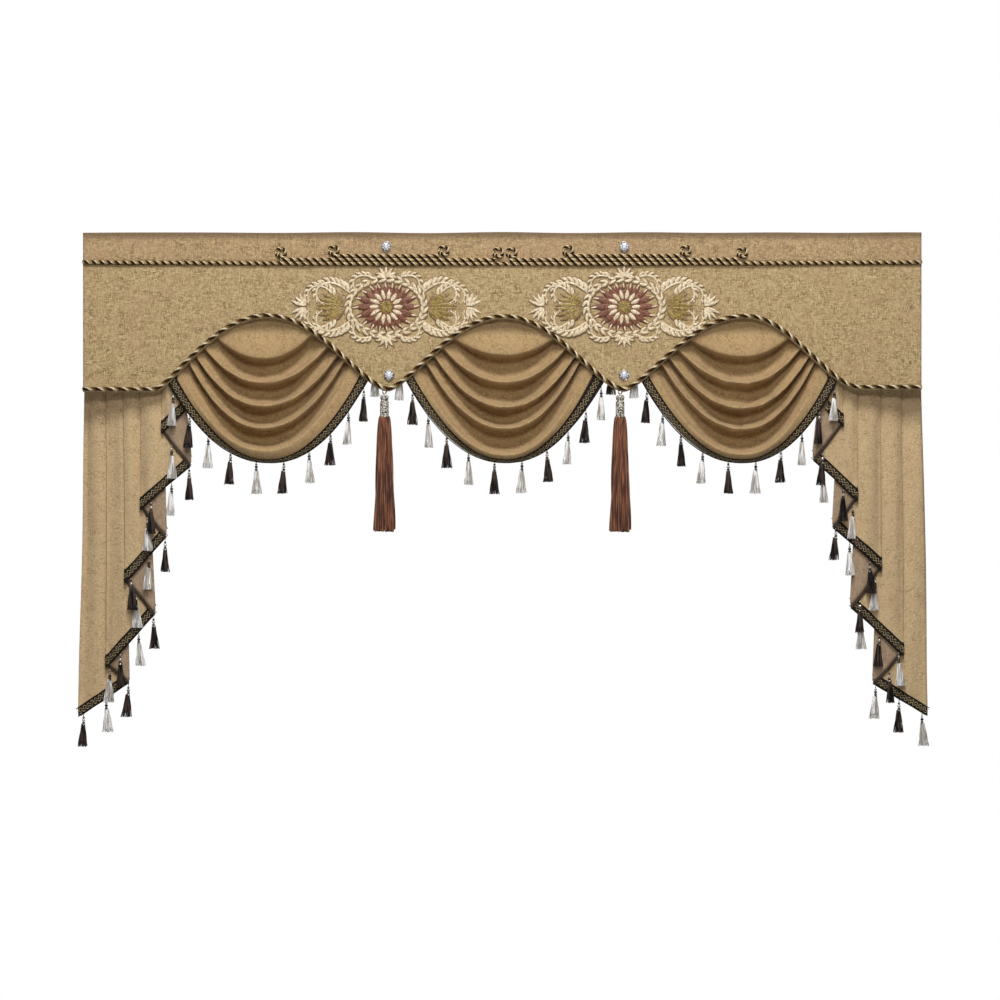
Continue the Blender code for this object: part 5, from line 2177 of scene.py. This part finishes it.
@dataclass
class Medallion:
    """A raised satin-stitch ornament: a wreathed rosette between leafy sprays."""

    shop: Workshop
    number: int
    centre_x: float
    centre_z: float = -174 * MM
    dome: float = 0.9 * MM
    step: float = 3.0 * MM
    sunk: float = 0.5
    clearance: float = 0.4 * MM
    wreath_reach: tuple[float, float] = (90.0, 67.0)
    wreath_leaves: int = 28
    outer_petals: int = 20
    inner_petals: int = 14
    tuft_side: int = 3

    def rosette(self) -> Strokes:
        """The flower in the middle: maroon petals, cream petals and an olive heart."""
        # The shade list holds darker strokes under the cream ones: partly their outline, partly
        # painted shade round them.
        maroon, shade, cream, olive = [], [], [], []
        wide, tall = self.wreath_reach
        for petal in range(self.outer_petals):
            angle = 360 * petal / self.outer_petals
            out = compass(angle)
            reach = 1 / math.hypot(out[0] / (wide - 8), out[1] / (tall - 6))
            maroon.append(Stroke(tuple(10 * out), angle, reach - 10, 0, 0, 20))
            cream.append(Stroke(tuple((reach - 18) * out), angle + 9, 17, 0, 0, 4.6))
        for petal in range(self.inner_petals):
            angle = 360 * petal / self.inner_petals
            out = compass(angle)
            cream.append(Stroke(tuple(17 * out), angle - 8, 27, 26, 26, 11))
            shade.append(Stroke(tuple(16 * out), angle - 10, 33, 26, 26, 16))
            olive.append(Stroke((0, 0), angle, 19, 20, 20, 8))
            if petal % 2:
                maroon.append(Stroke(tuple(3 * out), angle, 8, 0, 0, 4))
        for leaf in range(self.wreath_leaves):
            turn = 2 * math.pi * leaf / self.wreath_leaves
            root = (wide * math.cos(turn), tall * math.sin(turn))
            ahead = math.degrees(math.atan2(tall * math.cos(turn), -wide * math.sin(turn)))
            for side in (-1, 1):
                heading, bend = ahead + 36 * side, -30 * side
                cream.append(Stroke(root, heading, 20, bend, bend, 8.2))
                shade.append(Stroke(root, heading + 6 * side, 22, bend, bend, 12.5))
        for up in (1, -1):
            for blade in range(-self.tuft_side, self.tuft_side + 1):
                heading, size = up * (90 + 21 * blade), 30 - 3.0 * abs(blade)
                bends = (up * 16 * blade, up * 30 * blade)
                cream.append(Stroke((-2 * blade, up * 70), heading, size, *bends, 8.4))
                shade.append(Stroke((-2 * blade, up * 68), heading, size + 5, *bends, 13))
        return {Finish.SATIN_MAROON: maroon, Finish.SATIN_SHADE: shade,
                Finish.SATIN_CREAM: cream, Finish.SATIN_OLIVE: olive}

    def paths(self) -> dict[Finish, list[tuple[np.ndarray, np.ndarray]]]:
        """Every path with its widths, the quarter mirrored to all four corners."""
        made = {finish: [row.path() for row in rows] for finish, rows in self.rosette().items()}
        quarter: Strokes = {}
        for part in QUARTER:
            for finish, rows in part.strokes().items():
                quarter.setdefault(finish, []).extend(rows)
        for finish, rows in quarter.items():
            for flip in ((1, 1, 1), (1, -1, 1), (-1, 1, 1), (-1, -1, 1)):
                made[finish] += [(path * flip, width)
                                 for path, width in (row.path() for row in rows)]
        return made

    def build(self) -> None:
        """Stitches the ornament on the panel's face."""
        meshes = []
        lifts = {Finish.SATIN_MAROON: 0.0, Finish.SATIN_SHADE: 0.5, Finish.SATIN_OLIVE: 1.0,
                 Finish.SATIN_CREAM: 1.4}
        for finish, rows in self.paths().items():
            guide = line_mesh("satin", [path for path, _ in rows],
                              width=np.concatenate([width for _, width in rows]))
            mesh = grow(guide, self.shop.trees.satin, step=self.step, dome=self.dome,
                        sunk=(lifts[finish] + self.sunk) * MM,
                        finish=self.shop.finishes[finish])
            points = np.empty(len(mesh.vertices) * 3)
            mesh.vertices.foreach_get("co", points)
            x, y, z = points.reshape(-1, 3).T
            front = span("valance_panel")[0][1] - self.clearance - lifts[finish] * MM
            placed = np.column_stack([self.centre_x + x, front - z, self.centre_z + y])
            mesh.vertices.foreach_set("co", placed.ravel())
            mesh.update()
            meshes.append(mesh)
        fit(f"medallion_{self.number}", join_meshes("medallion", meshes), "panel_cloth")


# ---------------- stage


class Lamp(NamedTuple):
    """One square lamp: its place and size in metres and its power in watts."""

    name: str
    place: tuple[float, float, float]
    size: float
    power: float


LAMPS = (Lamp("key", (0.1, -4.6, 1.5), 0.8, 62.0), Lamp("canopy", (0.0, -3.3, 3.8), 1.6, 240.0),
         Lamp("fill", (-0.3, -5.0, -1.6), 2.4, 7.0), Lamp("rear", (0.0, 4.2, 3.4), 2.2, 130.0))

@dataclass
class Stage:
    """Pale floor, soft studio light and the camera."""

    floor_z: float = -2.1
    floor_half: float = 30.0
    camera_distance: float = 6.0
    lens: float = 90.5
    sensor_width: float = 36.0
    ambient: float = 0.05
    target: tuple[float, float, float] = (-0.0084, 0.0, -0.6348)
    lamps_aim: tuple[float, float, float] = (0.0, 0.0, -0.4)

    def build(self) -> None:
        """Makes the floor, the lights and the camera."""
        self.floor()
        self.lights()
        self.camera()

    def floor(self) -> None:
        """A wide plain floor, pale to the eye and dim as a source of light."""
        half = self.floor_half
        corners = [(-half, -half, self.floor_z), (half, -half, self.floor_z),
                   (half, half, self.floor_z), (-half, half, self.floor_z)]
        material, craft, shader = new_material("floor_pale")
        craft.fill(shader, {"Base Color": (0.55, 0.55, 0.55, 1.0), "Roughness": 0.9})
        glow = craft.add("ShaderNodeEmission", {"Color": (1.0, 1.0, 1.0, 1.0), "Strength": 1.0})
        seen = craft.add("ShaderNodeLightPath").outputs[0]
        mixed = craft.add("ShaderNodeMixShader", {0: seen, 1: shader, 2: glow})
        craft.feed(material.node_tree.nodes["Material Output"].inputs["Surface"], mixed)
        mesh = face_mesh("floor", np.array(corners), [(0, 1, 2, 3)], [material], smooth=False)
        floor = bpy.data.objects.new("floor", mesh)
        bpy.context.scene.collection.objects.link(floor)

    def lights(self) -> None:
        """A pale surround, a broad key from above the front and a weak frontal fill."""
        world = bpy.data.worlds.new("surround")
        world.use_nodes = True
        bpy.context.scene.world = world
        craft = NodeCraft(world.node_tree)
        seen = craft.add("ShaderNodeLightPath").outputs[0]
        craft.fill(world.node_tree.nodes["Background"], {
            "Color": craft.blend(seen, (1.0, 0.74, 0.54), (1.0, 1.0, 1.0)),
            "Strength": craft.math("MULTIPLY_ADD", seen, 1.0 - self.ambient, self.ambient)})
        for row in LAMPS:
            light = bpy.data.lights.new(row.name, "AREA")
            light.size = row.size
            light.energy = row.power
            lamp = bpy.data.objects.new(row.name, light)
            lamp.location = row.place
            aim = Vector(self.lamps_aim) - Vector(row.place)
            lamp.rotation_euler = aim.to_track_quat("-Z", "Y").to_euler()
            bpy.context.scene.collection.objects.link(lamp)

    def camera(self) -> None:
        """The camera, square to the front."""
        data = bpy.data.cameras.new("camera")
        data.lens = self.lens
        data.sensor_width = self.sensor_width
        camera = bpy.data.objects.new("camera", data)
        camera.location = (self.target[0], -self.camera_distance, self.target[2])
        camera.rotation_euler = (math.pi / 2, 0.0, 0.0)
        bpy.context.scene.collection.objects.link(camera)
        bpy.context.scene.camera = camera
        bpy.context.scene.view_settings.view_transform = "Standard"


def main() -> None:
    """Builds the valance from its sub-assemblies."""
    logging.basicConfig(level=logging.INFO, format="%(message)s")
    shop = Workshop()
    Stage().build()
    Panel(shop).build()
    for drape in DRAPES:
        Swag(shop, drape, flat=(1.05, 0.80)).build()
    Tail(shop, "left", TAIL_LEFT, Shade.DARK, flat=(0.84, 1.07), edge_roll=7.0).build()
    Tail(shop, "right", TAIL_RIGHT, Shade.SILVER, flat=(0.87, 1.07)).build()
    Cords(shop).build()
    for number in range(1, 5):
        Crystal(shop, f"crystal_button_{number}").build()
    for side in ("left", "right"):
        LargeTassel(shop, side).build()
    for number, node in enumerate(("crystal_button_1", "crystal_button_2"), start=1):
        Medallion(shop, number, float(middle(node)[0])).build()


if __name__ == "__main__":
    main()
